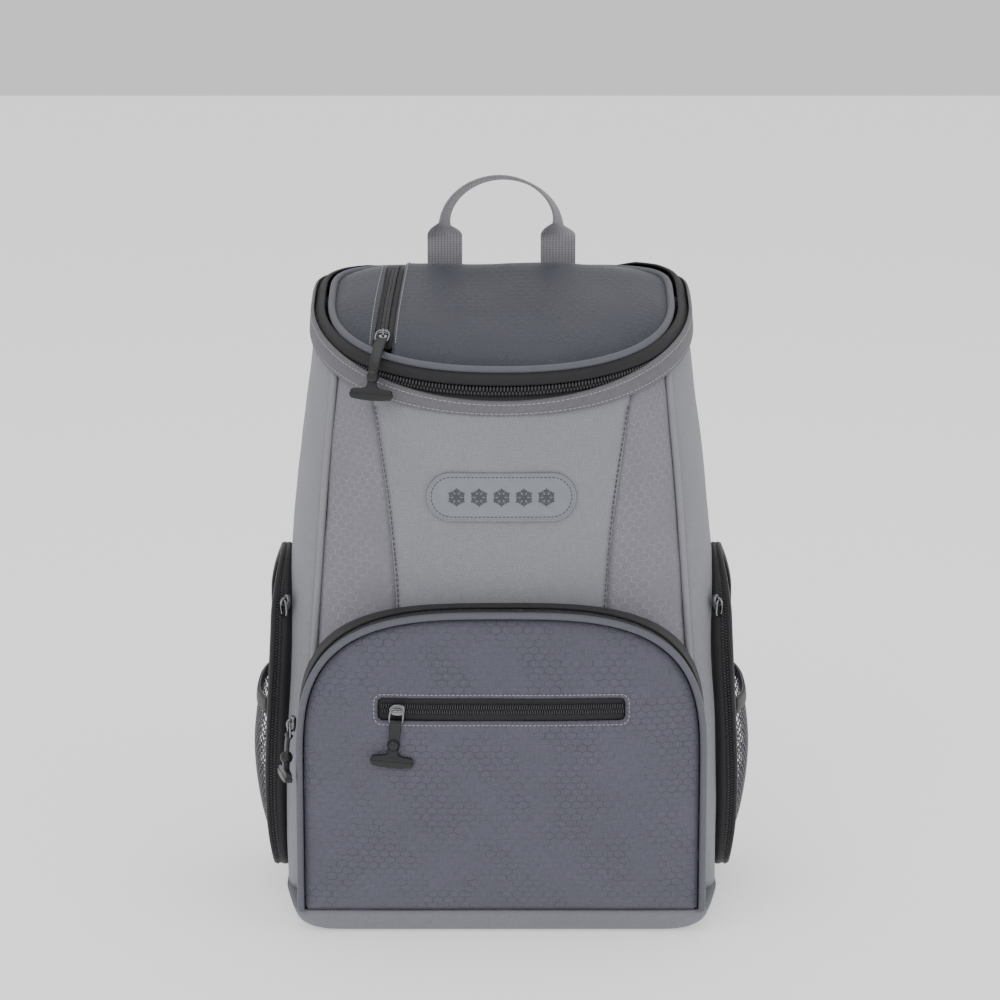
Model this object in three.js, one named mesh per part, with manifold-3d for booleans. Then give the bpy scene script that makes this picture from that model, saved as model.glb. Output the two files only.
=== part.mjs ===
// A cooler backpack, as an assembly of its sewn panels, zips, piping, pockets, handle and shoulder straps.
// Millimetres, +Z up, the front faces -Y and the bag stands on z = 0.
// Each piece is one closed solid in its own named mesh. Pieces that are sewn together keep a small seam gap.
import * as THREE from "three";
import { mergeVertices } from "three/addons/utils/BufferGeometryUtils.js";
import Module from "manifold-3d";

const wasm = await Module();
wasm.setup();

// Driving sizes of the body
const BODY_WIDTH = 304;
const BODY_DEPTH = 172;
const RIM_HEIGHT = 365; // from the ground to the zip line at the middle of the front
const LID_SLOPE_DEG = 16.5; // the rim and the lid rise towards the back
const WIDEST_FROM_BACK = 60; // how far in front of the back panel the body is widest
const BACK_CORNER_POWER = 5; // exponent of the rounded back corners in plan
const BACK_SEAM = 0.88; // half width of the back panel, as a share of the body's own half width
const WALL = 8; // padded, insulated wall
const SEAM_GAP = 0.4; // between pieces that are sewn edge to edge
const LAY_GAP = 0.4; // between a piece and the surface that it lies on
const PIPING_RADIUS = 2.4;

// Plan of the body at shares of the rim's height. Width is a share of BODY_WIDTH; seam and panel are the half
// widths of the piped seam and of the front panel's edge, as shares of half of BODY_WIDTH; corner is the
// exponent of the front corners, from nearly square at the base to an ellipse at the rim.
const BODY_SECTIONS = [
  { height: 0.0, width: 0.985, seam: 0.905, panel: 0.45, corner: 9.0 },
  { height: 0.3, width: 1.0, seam: 0.875, panel: 0.458, corner: 5.6 },
  { height: 0.5, width: 0.997, seam: 0.845, panel: 0.466, corner: 3.9 },
  { height: 0.65, width: 0.965, seam: 0.818, panel: 0.476, corner: 3.5 },
  { height: 0.8, width: 0.922, seam: 0.79, panel: 0.508, corner: 3.0 },
  { height: 0.92, width: 0.882, seam: 0.76, panel: 0.552, corner: 2.5 },
  { height: 1.0, width: 0.858, seam: 0.74, panel: 0.585, corner: 2.15 },
];

// Base: a padded tray whose edge rolls up to a seam. Its rings are given in shares of these sizes.
const BASE = { seamHeight: 17, roll: 13, frontPower: 16 };
const BASE_RINGS = [
  { outerInset: 1.0, outerHeight: 0.0, innerInset: 1.0, innerHeight: 0.0 },
  { outerInset: 0.42, outerHeight: 0.16, innerInset: 0.55, innerHeight: 0.2 },
  { outerInset: 0.1, outerHeight: 0.52, innerInset: 0.15, innerHeight: 0.55 },
  { outerInset: 0.0, outerHeight: 1.0, innerInset: 0.0, innerHeight: 1.0 },
];

// Zip round the lid: heights over the rim, and how far each line leans in from the rim
const RIM_ZIP = {
  lowerTape: { from: 0, to: 3, insetFrom: 0, insetTo: 0.5, thickness: 1.4 },
  chain: { from: 3.4, to: 8.2, insetFrom: -0.5, insetTo: 0.3, thickness: 2.6 },
  upperTape: { from: 8.6, to: 15.6, insetFrom: 1.2, insetTo: 5.4, thickness: 1.4 },
};
const HEM = { height: 10, thickness: 1.4 };
const ZIP_END_HALF = 75; // the rim zip stops this far either side of the middle of the back
const LID = {
  pipingRise: 18.4,
  pipingInset: 8.2,
  edgeRise: 17.4,
  edgeInset: 11.2,
  crown: 9,
  crownPower: 4,
  wall: 7,
};

// Zip of the flat pocket in the lid, which runs front to back on the wearer's left
const LID_ZIP = { frontX: -80, backX: -73, slotWidth: 13, chainWidth: 5.4, tape: 1.6, chain: 2.4, sunk: 1.6 };

// Grab handle: one length of webbing whose flat feet stand on the back and twist into an arch
const WEBBING = { width: 25, thickness: 1.8 };
const HANDLE = { span: 81, footBottom: 397, springing: 452, twist: 14, top: 495, archPower: 2.3, rake: -4 };

// Front pocket
const POCKET = {
  half: 139,
  top: 225.5,
  middle: 115, // where the arch springs from the straight sides
  archPower: 3.2,
  footPower: 16,
  depthTop: 20, // from the body's front face to the piping, at the top of the arch
  depthFoot: 29,
  crown: 13,
  wall: 3,
  flare: 2.4, // how much further out the pocket is at the body than at its piping
};
const POCKET_ZIP = { frontTape: 5.2, chainWidth: 5, tape: 1.4, chain: 2.6, endHeight: 130 };

// Zip set into the front pocket's panel
const FRONT_ZIP = {
  length: 166,
  height: 15,
  middle: 161.5,
  corner: 3,
  chainWidth: 7,
  tape: 1.6,
  chain: 2.4,
  sunk: 1.4,
};

// Oval rubber patch on the front
const BADGE = { width: 101, height: 34, middle: 300, thickness: 1.6, edge: 2.6, edgeRise: 0.8, power: 2.6 };

// Side pockets: an arch in the side view, whose face stands off the body by a rise that follows the table
const SIDE_POCKET = {
  middleY: 6,
  half: 55,
  bottom: 20,
  middle: 118,
  top: 243,
  archPower: 2.5,
  footPower: 5,
  wall: 2.2,
};
const SIDE_POCKET_FACE = { rise: 12.5, crown: 1.5 };
const SIDE_RISE = [
  { height: 0.0, rise: 0.62 },
  { height: 0.2, rise: 0.95 },
  { height: 0.5, rise: 1.0 },
  { height: 0.82, rise: 0.97 },
  { height: 0.92, rise: 0.72 },
  { height: 1.0, rise: 0.36 },
];
const SIDE_CHAIN = { width: 5, proud: 1.4 };

// Mesh sleeve over each side pocket: its belly stands off the pocket's face as the table says
const MESH = {
  margin: 5,
  bottom: 28,
  top: 147,
  thickness: 1.2,
  belly: 5.5,
  bellyPower: 2.6,
  columns: 5,
  rows: 5,
  hole: 0.74,
};
const MESH_BELLY = [
  { height: 0.0, belly: 0.0 },
  { height: 0.3, belly: 0.75 },
  { height: 0.65, belly: 1.0 },
  { height: 1.0, belly: 0.6 },
];
const MESH_HEM = { height: 9, thickness: 2 };

// Zip sliders, and the rubber pulls that hang on them
const SLIDER = { length: 10, width: 8, thickness: 2.6, wire: 0.9, loopWidth: 9.6, loopLength: 8.5 };
const PULL = {
  knuckle: 2.5,
  strapWidth: 6.6,
  strap: 2.6,
  ball: 4.2,
  bar: 28.5,
  barHeight: 7.5,
  barThickness: 4,
};
const PULL_LENGTH = { ball: 17, bar: 27.4 }; // down from the loop's end

// Where the sliders stand: across on the front zip, up on the pocket's zip, back from the lid's front
const SLIDER_AT = {
  frontX: -67,
  pocketZ: POCKET_ZIP.endHeight + 15,
  lidFromFront: 46,
  sideZ: SIDE_POCKET.top - 28,
};

// Route of the lid slider's pull from the loop's end, over the piping and down in front of the rim
const LID_PULL_ROUTE = [
  { forward: 2, drop: 0.3 },
  { forward: 9, drop: 2 },
  { forward: 17, drop: 6 },
  { forward: 25, drop: LID.crown + 3.5 },
  { forward: 30, drop: LID.pipingRise + 1.6 },
  { forward: 31.5, drop: LID.pipingRise + 11.1 },
];

// Shoulder straps on the back panel. Their route is in shares of their length, spread and stand-off.
const YOKE = { width: 134, height: 34, thickness: 2.4, top: 396 };
const STRAP = { width: 58, endWidth: 44, thickness: 11, topX: 37, length: 245, spread: 54, standOff: 20 };
const STRAP_ROUTE = [
  { height: 0, out: 0, off: 0.02 },
  { height: 0.2, out: 0.1, off: 0.45 },
  { height: 0.42, out: 0.36, off: 0.92 },
  { height: 0.64, out: 0.64, off: 1.0 },
  { height: 0.84, out: 0.85, off: 0.6 },
  { height: 1.0, out: 1.0, off: 0.14 },
];
const BUCKLE = { width: 34, length: 26, thickness: 3.2, rail: 4, bar: 3.6 };
const ANCHOR = { x: 122, z: 44, width: 34, height: 26, thickness: 2.4 };

// Finishes, as seen on the bag
const FINISHES = {
  greyFabric: { color: 0x97979c, roughness: 0.85, metalness: 0 },
  hexFabric: { color: 0x8f8d94, roughness: 0.8, metalness: 0 },
  pocketFabric: { color: 0x6a6b77, roughness: 0.8, metalness: 0 },
  lidFabric: { color: 0x62646f, roughness: 0.75, metalness: 0 },
  piping: { color: 0x85858c, roughness: 0.7, metalness: 0 },
  webbing: { color: 0x7a797d, roughness: 0.85, metalness: 0 },
  zipTape: { color: 0x242325, roughness: 0.75, metalness: 0 },
  zipChain: { color: 0x1d1c1e, roughness: 0.45, metalness: 0 },
  sliderMetal: { color: 0x8d9092, roughness: 0.25, metalness: 1 },
  pullRubber: { color: 0x2b2b2d, roughness: 0.6, metalness: 0 },
  mesh: { color: 0x4a4a4d, roughness: 0.8, metalness: 0 },
  badgeRubber: { color: 0x93959b, roughness: 0.55, metalness: 0 },
  buckle: { color: 0x232325, roughness: 0.4, metalness: 0 },
};

const SIDES = { left: -1, right: 1 };
const { lerp: mix, clamp, degToRad } = THREE.MathUtils;
const vector = (x, y, z) => new THREE.Vector3(x, y, z);
const evenly = (count, make) => Array.from({ length: count + 1 }, (_, i) => make(i / count));

const bag = new THREE.Group();

/** Adds a geometry to a group as a named mesh with its own material. */
function addPiece(name, geometry, finish, parent = bag) {
  const piece = new THREE.Mesh(geometry, new THREE.MeshStandardMaterial(FINISHES[finish]));
  piece.name = name;
  parent.add(piece);
}

// Reading the tables

/** Smooth curve through one column of a table, read at a share of the height. */
function column(rows, key) {
  const slopes = rows.map((row, i) => {
    const before = rows[Math.max(i - 1, 0)];
    const after = rows[Math.min(i + 1, rows.length - 1)];
    return (after[key] - before[key]) / (after.height - before.height);
  });
  return (share) => {
    const next = rows.findIndex((row) => row.height > share);
    const k = next < 0 ? rows.length - 2 : Math.max(next - 1, 0);
    const step = rows[k + 1].height - rows[k].height;
    const t = clamp((share - rows[k].height) / step, 0, 1);
    const u = 1 - t;
    const ends = rows[k][key] * (1 + 2 * t) * u * u + rows[k + 1][key] * (3 - 2 * t) * t * t;
    return ends + step * (slopes[k] * t * u * u - slopes[k + 1] * t * t * u);
  };
}

const widthAt = column(BODY_SECTIONS, "width");
const seamAt = column(BODY_SECTIONS, "seam");
const panelAt = column(BODY_SECTIONS, "panel");
const cornerAt = column(BODY_SECTIONS, "corner");
const sideRiseAt = column(SIDE_RISE, "rise");
const bellyAt = column(MESH_BELLY, "belly");
const strapOutAt = column(STRAP_ROUTE, "out");
const strapOffAt = column(STRAP_ROUTE, "off");

// Outlines

const QUARTER_STEPS = 96;
const NORMAL_SPAN = 0.02; // stretch of an outline over which its direction is read

/** Quarter of a superellipse, from the middle of a face to its widest place, read by its length. */
class Quarter {
  constructor(half, reach, power) {
    this.points = [];
    this.lengths = [0];
    for (let i = 0; i <= QUARTER_STEPS; i++) {
      const turn = ((i / QUARTER_STEPS) * Math.PI) / 2;
      const across = i === QUARTER_STEPS ? 1 : Math.sin(turn) ** (2 / power);
      const along = i === QUARTER_STEPS ? 0 : Math.cos(turn) ** (2 / power);
      this.points.push(new THREE.Vector2(half * across, reach * along));
      if (i) this.lengths.push(this.lengths[i - 1] + this.points[i].distanceTo(this.points[i - 1]));
    }
    this.length = this.lengths[QUARTER_STEPS];
  }

  /** Point at a share of the length: x is how far across, y how far along. */
  at(share) {
    const target = clamp(share, 0, 1) * this.length;
    const i = Math.max(this.lengths.findIndex((length) => length >= target), 1);
    const part = (target - this.lengths[i - 1]) / (this.lengths[i] - this.lengths[i - 1]);
    return this.points[i - 1].clone().lerp(this.points[i], part);
  }

  /** Share of the length at which the curve is this far across. */
  shareAcross(across) {
    const i = Math.max(this.points.findIndex((point) => point.x >= across), 1);
    const part = (across - this.points[i - 1].x) / (this.points[i].x - this.points[i - 1].x);
    return (this.lengths[i - 1] + part * (this.lengths[i] - this.lengths[i - 1])) / this.length;
  }
}

/** Closed outline of four quarters. Round 0 is its fore middle, 1 its widest place and 2 its aft middle. */
class Oval {
  constructor({ half, fore, forePower, aft, aftPower }) {
    Object.assign(this, { half, fore, forePower, aft, aftPower });
    this.foreQuarter = new Quarter(half, fore, forePower);
    this.aftQuarter = new Quarter(half, aft, aftPower);
  }

  /** Point of the outline: x across, y along towards the fore side. */
  at(round) {
    const turned = Math.abs(round) > 2 ? round - 4 * Math.sign(round) : round;
    const side = Math.sign(turned) || 1;
    const way = Math.abs(turned);
    const p = way <= 1 ? this.foreQuarter.at(way) : this.aftQuarter.at(2 - way);
    return new THREE.Vector2(side * p.x, way <= 1 ? p.y : -p.y);
  }

  /** Point that stands out from the outline by a distance. */
  out(round, distance) {
    const ahead = this.at(round + NORMAL_SPAN).sub(this.at(round - NORMAL_SPAN)).normalize();
    return this.at(round).add(new THREE.Vector2(-ahead.y, ahead.x).multiplyScalar(distance));
  }

  /** Half of the width at a distance along. */
  halfAt(along) {
    const reach = along > 0 ? this.fore : this.aft;
    const power = along > 0 ? this.forePower : this.aftPower;
    return this.half * Math.max(1 - Math.abs(along / reach) ** power, 0) ** (1 / power);
  }

  /** Size of the outline through a point, as a share of this one. */
  share(across, along) {
    const reach = along > 0 ? this.fore : this.aft;
    const power = along > 0 ? this.forePower : this.aftPower;
    return (Math.abs(across / this.half) ** power + Math.abs(along / reach) ** power) ** (1 / power);
  }

  /** Place on the fore side at a distance across. */
  roundAcross(across) {
    return this.foreQuarter.shareAcross(across);
  }

  /** Place at a distance along. */
  roundAlong(along) {
    let [low, high] = [0, 2];
    for (let i = 0; i < 40; i++) {
      const half = (low + high) / 2;
      if (this.at(half).y > along) low = half;
      else high = half;
    }
    return low;
  }
}

// The body's surface

const FRONT_Y = -BODY_DEPTH / 2;
const BACK_Y = BODY_DEPTH / 2;
const WIDEST_Y = BACK_Y - WIDEST_FROM_BACK;
const SLOPE = Math.tan(degToRad(LID_SLOPE_DEG));
const halfWidth = (share) => (BODY_WIDTH / 2) * widthAt(share);
const rimHeight = (y) => RIM_HEIGHT + (y - FRONT_Y) * SLOPE;

const plans = new Map();

/** Plan of the body at a share of the rim's height, fore being the front. */
function planAt(share) {
  const key = share.toFixed(4);
  if (!plans.has(key)) {
    const front = { fore: WIDEST_Y - FRONT_Y, forePower: cornerAt(share) };
    const back = { aft: WIDEST_FROM_BACK, aftPower: BACK_CORNER_POWER };
    plans.set(key, new Oval({ half: halfWidth(share), ...front, ...back }));
  }
  return plans.get(key);
}

/** Point out from the body's skin, at a share of the rim's height and a place round the plan. */
function bodyPoint(share, round, out) {
  const p = planAt(share).out(round, out);
  const y = WIDEST_Y - p.y;
  return vector(p.x, y, share * rimHeight(y));
}

/** Point out from the skin, at a height over the rim, or under it if that is negative. */
function rimPoint(round, rise, out) {
  const p = bodyPoint(Math.min(1 + rise / RIM_HEIGHT, 1), round, out);
  p.z = rimHeight(p.y) + rise;
  return p;
}

/** Reach of the skin towards a face: -1 is the front and 1 the back. */
function skinY(face, x, z) {
  let y = face < 0 ? FRONT_Y : BACK_Y;
  for (let i = 0; i < 5; i++) {
    const plan = planAt(Math.min(z / rimHeight(y), 1));
    const power = face < 0 ? plan.forePower : plan.aftPower;
    const reach = face < 0 ? plan.fore : plan.aft;
    y = WIDEST_Y + face * reach * Math.max(1 - Math.abs(x / plan.half) ** power, 0) ** (1 / power);
  }
  return y;
}

/** Outward direction of the skin at a place on a face. */
function skinNormal(face, x, z) {
  const alongX = vector(2, skinY(face, x + 1, z) - skinY(face, x - 1, z), 0);
  const alongZ = vector(0, skinY(face, x, z + 1) - skinY(face, x, z - 1), 2);
  return alongZ.cross(alongX).normalize().multiplyScalar(face);
}

/** Point over the front or the back of the body. */
function facePoint(face, x, z, out) {
  return vector(x, skinY(face, x, z), z).addScaledVector(skinNormal(face, x, z), out);
}

/** Point over the side of the body: side is 1 on +X and -1 on -X. */
function flankPoint(side, y, z, out) {
  const reach = (depth, height) => planAt(Math.min(height / rimHeight(depth), 1)).halfAt(WIDEST_Y - depth);
  const leanY = (reach(y + 1, z) - reach(y - 1, z)) / 2;
  const leanZ = (reach(y, z + 1) - reach(y, z - 1)) / 2;
  const normal = vector(side, -leanY, -leanZ).normalize();
  return vector(side * reach(y, z), y, z).addScaledVector(normal, out);
}

// Making solids

/** Geometry of a closed solid from its corner points and triangles, turned so that its faces point out. */
function closedGeometry(points, triangles) {
  let volume = 0;
  for (const [a, b, c] of triangles) volume += points[a].dot(vector().crossVectors(points[b], points[c]));
  const facing = volume < 0 ? triangles.map(([a, b, c]) => [a, c, b]) : triangles;
  const geometry = new THREE.BufferGeometry();
  geometry.setAttribute("position", new THREE.Float32BufferAttribute(points.flatMap((p) => p.toArray()), 3));
  geometry.setIndex(facing.flat());
  return geometry;
}

/** Two triangles for a four-sided face. */
function quad(a, b, c, d) {
  return [
    [a, b, c],
    [a, c, d],
  ];
}

/** Sheet with a thickness: outer and inner give the point at a share of the columns and of the rows. */
function sheetSolid(columns, rows, outer, inner, ring = false) {
  const across = ring ? columns : columns + 1;
  const points = [];
  for (const surface of [outer, inner]) {
    for (let j = 0; j <= rows; j++) {
      for (let i = 0; i < across; i++) points.push(surface(i / columns, j / rows));
    }
  }
  const layer = across * (rows + 1);
  const id = (i, j) => j * across + (i % across);
  const triangles = [];
  for (let j = 0; j < rows; j++) {
    for (let i = 0; i < columns; i++) {
      const [a, b, c, d] = [id(i, j), id(i + 1, j), id(i + 1, j + 1), id(i, j + 1)];
      triangles.push(...quad(a, b, c, d), ...quad(layer + d, layer + c, layer + b, layer + a));
    }
  }
  for (let i = 0; i < columns; i++) {
    triangles.push(...quad(id(i + 1, 0), id(i, 0), layer + id(i, 0), layer + id(i + 1, 0)));
    triangles.push(...quad(id(i + 1, rows), layer + id(i + 1, rows), layer + id(i, rows), id(i, rows)));
  }
  for (let j = 0; j < rows && !ring; j++) {
    triangles.push(...quad(id(0, j), id(0, j + 1), layer + id(0, j + 1), layer + id(0, j)));
    const [foot, head] = [id(columns, j), id(columns, j + 1)];
    triangles.push(...quad(foot, layer + foot, layer + head, head));
  }
  return closedGeometry(points, triangles);
}

/** Dished sheet on rings round a middle: outer and inner give the point at a turn and a ring's number. */
function dishSolid(columns, rings, outer, inner, middle) {
  const points = [middle(0), middle(1)];
  for (const surface of [outer, inner]) {
    for (let j = 0; j < rings; j++) {
      for (let i = 0; i < columns; i++) points.push(surface(i / columns, j));
    }
  }
  const layer = columns * rings;
  const id = (i, j) => 2 + j * columns + (i % columns);
  const triangles = [];
  for (let i = 0; i < columns; i++) {
    triangles.push([0, id(i, 0), id(i + 1, 0)], [1, layer + id(i + 1, 0), layer + id(i, 0)]);
    for (let j = 0; j < rings - 1; j++) {
      const [a, b, c, d] = [id(i, j), id(i, j + 1), id(i + 1, j + 1), id(i + 1, j)];
      triangles.push(...quad(a, b, c, d), ...quad(layer + d, layer + c, layer + b, layer + a));
    }
    const edge = rings - 1;
    triangles.push(...quad(id(i, edge), layer + id(i, edge), layer + id(i + 1, edge), id(i + 1, edge)));
  }
  return closedGeometry(points, triangles);
}

/** Loft through sections of equal numbers of points. A closed loft joins its last section to its first. */
function loftSolid(sections, closed = false) {
  const sides = sections[0].length;
  const spans = closed ? sections.length : sections.length - 1;
  const id = (i, k) => (i % sections.length) * sides + (k % sides);
  const triangles = [];
  for (let i = 0; i < spans; i++) {
    for (let k = 0; k < sides; k++) {
      triangles.push(...quad(id(i, k), id(i, k + 1), id(i + 1, k + 1), id(i + 1, k)));
    }
  }
  for (let k = 1; k < sides - 1 && !closed; k++) {
    triangles.push([0, k + 1, k], [id(spans, 0), id(spans, k), id(spans, k + 1)]);
  }
  return closedGeometry(sections.flat(), triangles);
}

const LEVEL = vector(0.05, 1, 0.08).normalize(); // a direction that no cord below follows

/** Round cord along a row of points. */
function cordSolid(path, radius, sides, closed = false, level = LEVEL) {
  const count = path.length;
  const sections = path.map((point, i) => {
    const before = path[closed ? (i + count - 1) % count : Math.max(i - 1, 0)];
    const after = path[closed ? (i + 1) % count : Math.min(i + 1, count - 1)];
    const along = after.clone().sub(before).normalize();
    const across = along.clone().cross(level).normalize();
    const over = across.clone().cross(along);
    return Array.from({ length: sides }, (_, k) => {
      const turn = (2 * Math.PI * k) / sides;
      const rim = across.clone().multiplyScalar(Math.cos(turn)).addScaledVector(over, Math.sin(turn));
      return point.clone().addScaledVector(rim, radius);
    });
  });
  return loftSolid(sections, closed);
}

/** Geometry as a solid that can be joined and cut. */
function toSolid(geometry) {
  const bare = geometry.clone();
  bare.deleteAttribute("normal");
  bare.deleteAttribute("uv");
  const merged = mergeVertices(bare, 1e-4);
  const vertProperties = Float32Array.from(merged.attributes.position.array);
  const triVerts = Uint32Array.from(merged.index.array);
  return new wasm.Manifold(new wasm.Mesh({ numProp: 3, vertProperties, triVerts }));
}

/** Solid as a geometry again. */
function fromSolid(solid) {
  const mesh = solid.getMesh();
  const geometry = new THREE.BufferGeometry();
  geometry.setAttribute("position", new THREE.BufferAttribute(mesh.vertProperties, 3));
  geometry.setIndex(new THREE.BufferAttribute(mesh.triVerts, 1));
  return geometry;
}

/** Several geometries that meet, as one. */
const joined = (...parts) => fromSolid(parts.map(toSolid).reduce((whole, part) => whole.add(part)));

/** Rounded rectangle as a shape. */
function roundedShape(width, height, radius) {
  const [x, z] = [width / 2, height / 2];
  const shape = new THREE.Shape();
  shape.moveTo(x, z - radius);
  shape.absarc(x - radius, z - radius, radius, 0, Math.PI / 2);
  shape.absarc(radius - x, z - radius, radius, Math.PI / 2, Math.PI);
  shape.absarc(radius - x, radius - z, radius, Math.PI, 1.5 * Math.PI);
  shape.absarc(x - radius, radius - z, radius, 1.5 * Math.PI, 2 * Math.PI);
  return shape;
}

/** Shape in x and z as a plate that is thick along y, centred on the plane y = 0. */
function plateOf(shape, thickness, curveSegments = 3) {
  const plate = new THREE.ExtrudeGeometry(shape, { depth: thickness, bevelEnabled: false, curveSegments });
  return plate.translate(0, 0, -thickness / 2).rotateX(Math.PI / 2);
}

// Body panels

const frontOf = (share) => planAt(share).foreQuarter.length;
const backOf = (share) => planAt(share).aftQuarter.length;
const panelEdge = (share) => planAt(share).roundAcross((BODY_WIDTH / 2) * panelAt(share));
const seamEdge = (share) => planAt(share).roundAcross((BODY_WIDTH / 2) * seamAt(share));
const backEdge = (share) => 2 - planAt(share).aftQuarter.shareAcross(halfWidth(share) * BACK_SEAM);
const zipEndAt = (share) => 2 - planAt(share).aftQuarter.shareAcross(ZIP_END_HALF);

const WALL_ROWS = 7;
const WALL_COLUMNS = { centre: 6, side: 3, gusset: 7, corner: 2, back: 4 };

/** Padded wall between two places round the plan, from a height up to the rim. */
function wallPanel(name, finish, side, from, to, foot, columns) {
  wallAlong(name, finish, foot, columns, (share, i) => side * mix(from(share), to(share), i));
}

/** Padded wall whose columns stand where the rule says, at each share of the rim's height. */
function wallAlong(name, finish, foot, columns, roundOf) {
  const place = (i, j, out) => {
    const share = Math.max(foot / RIM_HEIGHT, j);
    const p = bodyPoint(share, roundOf(share, i), out);
    p.z = j ? Math.min(p.z, rimHeight(p.y) - SEAM_GAP) : foot;
    return p;
  };
  const [outer, inner] = [0, -WALL].map((out) => (i, j) => place(i, j, out));
  addPiece(name, sheetSolid(columns, WALL_ROWS, outer, inner), finish);
}

/** A plain panel in the front, a patterned one each side of it, a gusset each side, and the back. */
function addWalls() {
  const floor = WALL + SEAM_GAP;
  const seamFoot = BASE.seamHeight + SEAM_GAP;
  const pipingHalf = PIPING_RADIUS + SEAM_GAP;
  const middleEdge = (share) => panelEdge(share) - SEAM_GAP / 2 / frontOf(share);
  const leftEdge = (share) => -middleEdge(share);
  wallPanel("front_centre_panel", "greyFabric", 1, leftEdge, middleEdge, floor, WALL_COLUMNS.centre);
  for (const [hand, side] of Object.entries(SIDES)) {
    const fromPanel = (share) => panelEdge(share) + SEAM_GAP / 2 / frontOf(share);
    const toPiping = (share) => seamEdge(share) - pipingHalf / frontOf(share);
    wallPanel(`front_side_panel_${hand}`, "hexFabric", side, fromPanel, toPiping, floor, WALL_COLUMNS.side);
    const fromPiping = (share) => seamEdge(share) + pipingHalf / frontOf(share);
    const toBack = (share) => backEdge(share) - SEAM_GAP / 2 / backOf(share);
    wallPanel(`side_gusset_${hand}`, "greyFabric", side, fromPiping, toBack, seamFoot, WALL_COLUMNS.gusset);
  }
  const fromSide = (share) => backEdge(share) + SEAM_GAP / 2 / backOf(share);
  const backColumns = 2 * WALL_COLUMNS.corner + WALL_COLUMNS.back;
  const cornerShare = WALL_COLUMNS.corner / backColumns;
  wallAlong("back_panel", "greyFabric", seamFoot, backColumns, (share, i) => {
    const [near, side] = i <= 0.5 ? [i, 1] : [1 - i, -1];
    const round = near < cornerShare
      ? mix(fromSide(share), zipEndAt(share), near / cornerShare)
      : mix(zipEndAt(share), 2, (near - cornerShare) / (0.5 - cornerShare));
    return side > 0 ? round : 4 - round;
  });
}

/** Padded tray under the body, which reaches forward under the front pocket. */
function addBase() {
  const fore = WIDEST_Y - FRONT_Y + POCKET.depthFoot;
  const back = { aft: WIDEST_FROM_BACK, aftPower: BACK_CORNER_POWER };
  const outline = new Oval({ half: halfWidth(0), fore, forePower: BASE.frontPower, ...back });
  const place = (turn, inset, z) => {
    const p = outline.at(4 * turn - 2);
    const reach = p.y > 0 ? outline.fore : outline.aft;
    return vector(p.x * (1 - inset / outline.half), WIDEST_Y - p.y * (1 - inset / reach), z);
  };
  const outer = (turn, j) => {
    const { outerInset, outerHeight } = BASE_RINGS[j];
    return place(turn, BASE.roll * outerInset, BASE.seamHeight * outerHeight);
  };
  const inner = (turn, j) => {
    const inset = mix(WALL, BASE.roll, BASE_RINGS[j].innerInset);
    return place(turn, inset, mix(WALL, BASE.seamHeight, BASE_RINGS[j].innerHeight));
  };
  const tray = dishSolid(28, BASE_RINGS.length, outer, inner, (layer) => vector(0, WIDEST_Y, layer * WALL));
  addPiece("base_panel", tray, "greyFabric");
}

/** Height at which the arch of the front pocket crosses the piped seams. */
function seamCrossing() {
  const arch = pocketArch(POCKET.flare);
  let [low, high] = [POCKET.middle, POCKET.top];
  for (let i = 0; i < 30; i++) {
    const z = (low + high) / 2;
    if ((BODY_WIDTH / 2) * seamAt(z / RIM_HEIGHT) < arch.halfAt(z - POCKET.middle)) low = z;
    else high = z;
  }
  return low;
}

/** Piping of the seams between the front and the side gussets, sunk where the front pocket covers it. */
function addBodyPiping() {
  const start = (BASE.seamHeight + SEAM_GAP) / RIM_HEIGHT;
  const end = 1 - (HEM.height + 4 * SEAM_GAP) / RIM_HEIGHT;
  const clear = (seamCrossing() + 2 * PIPING_RADIUS) / RIM_HEIGHT;
  const rise = clear + (2 * PIPING_RADIUS) / RIM_HEIGHT;
  const rows = evenly(WALL_ROWS, (share) => share).filter((share) => share > start && share < end);
  const stops = [start, ...rows, end, clear, rise].sort((a, b) => a - b);
  for (const [hand, side] of Object.entries(SIDES)) {
    const onRow = (share, out) => bodyPoint(share, side * seamEdge(share), out);
    const path = stops.map((share) => {
      const out = share < rise ? -PIPING_RADIUS - SEAM_GAP : 0;
      const row = Math.floor(share * WALL_ROWS);
      const below = onRow(Math.max(row / WALL_ROWS, start), out);
      return below.lerp(onRow((row + 1) / WALL_ROWS, out), row ? share * WALL_ROWS - row : 0);
    });
    addPiece(`body_piping_${hand}`, cordSolid(path, PIPING_RADIUS, 6), "piping");
  }
}

// Rim, its zip and the lid

/** Places round the plan where the walls have their columns, on one side up to the end of the zip. */
function wallStops(share) {
  const spans = [
    { from: 0, to: panelEdge(share), columns: WALL_COLUMNS.centre / 2 },
    { from: panelEdge(share), to: seamEdge(share), columns: WALL_COLUMNS.side },
    { from: seamEdge(share), to: backEdge(share), columns: WALL_COLUMNS.gusset },
    { from: backEdge(share), to: zipEndAt(share), columns: WALL_COLUMNS.corner },
  ];
  return spans.flatMap(({ from, to, columns }) => evenly(columns, (t) => mix(from, to, t)).slice(1));
}

/** Strip along the whole zip at the rim, between two heights over it. */
function rimStrip(name, finish, { from, to, insetFrom, insetTo, thickness }) {
  const columns = 2 * wallStops(1).length;
  const place = (i, j, inward) => {
    const rise = mix(from, to, j);
    const stops = wallStops(Math.min(1 + rise / RIM_HEIGHT, 1));
    const round = [...stops.map((stop) => -stop).reverse(), 0, ...stops][Math.round(i * columns)];
    return rimPoint(round, rise, -mix(insetFrom, insetTo, j) - inward);
  };
  addPiece(name, sheetSolid(columns, 1, (i, j) => place(i, j, 0), (i, j) => place(i, j, thickness)), finish);
}

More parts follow.
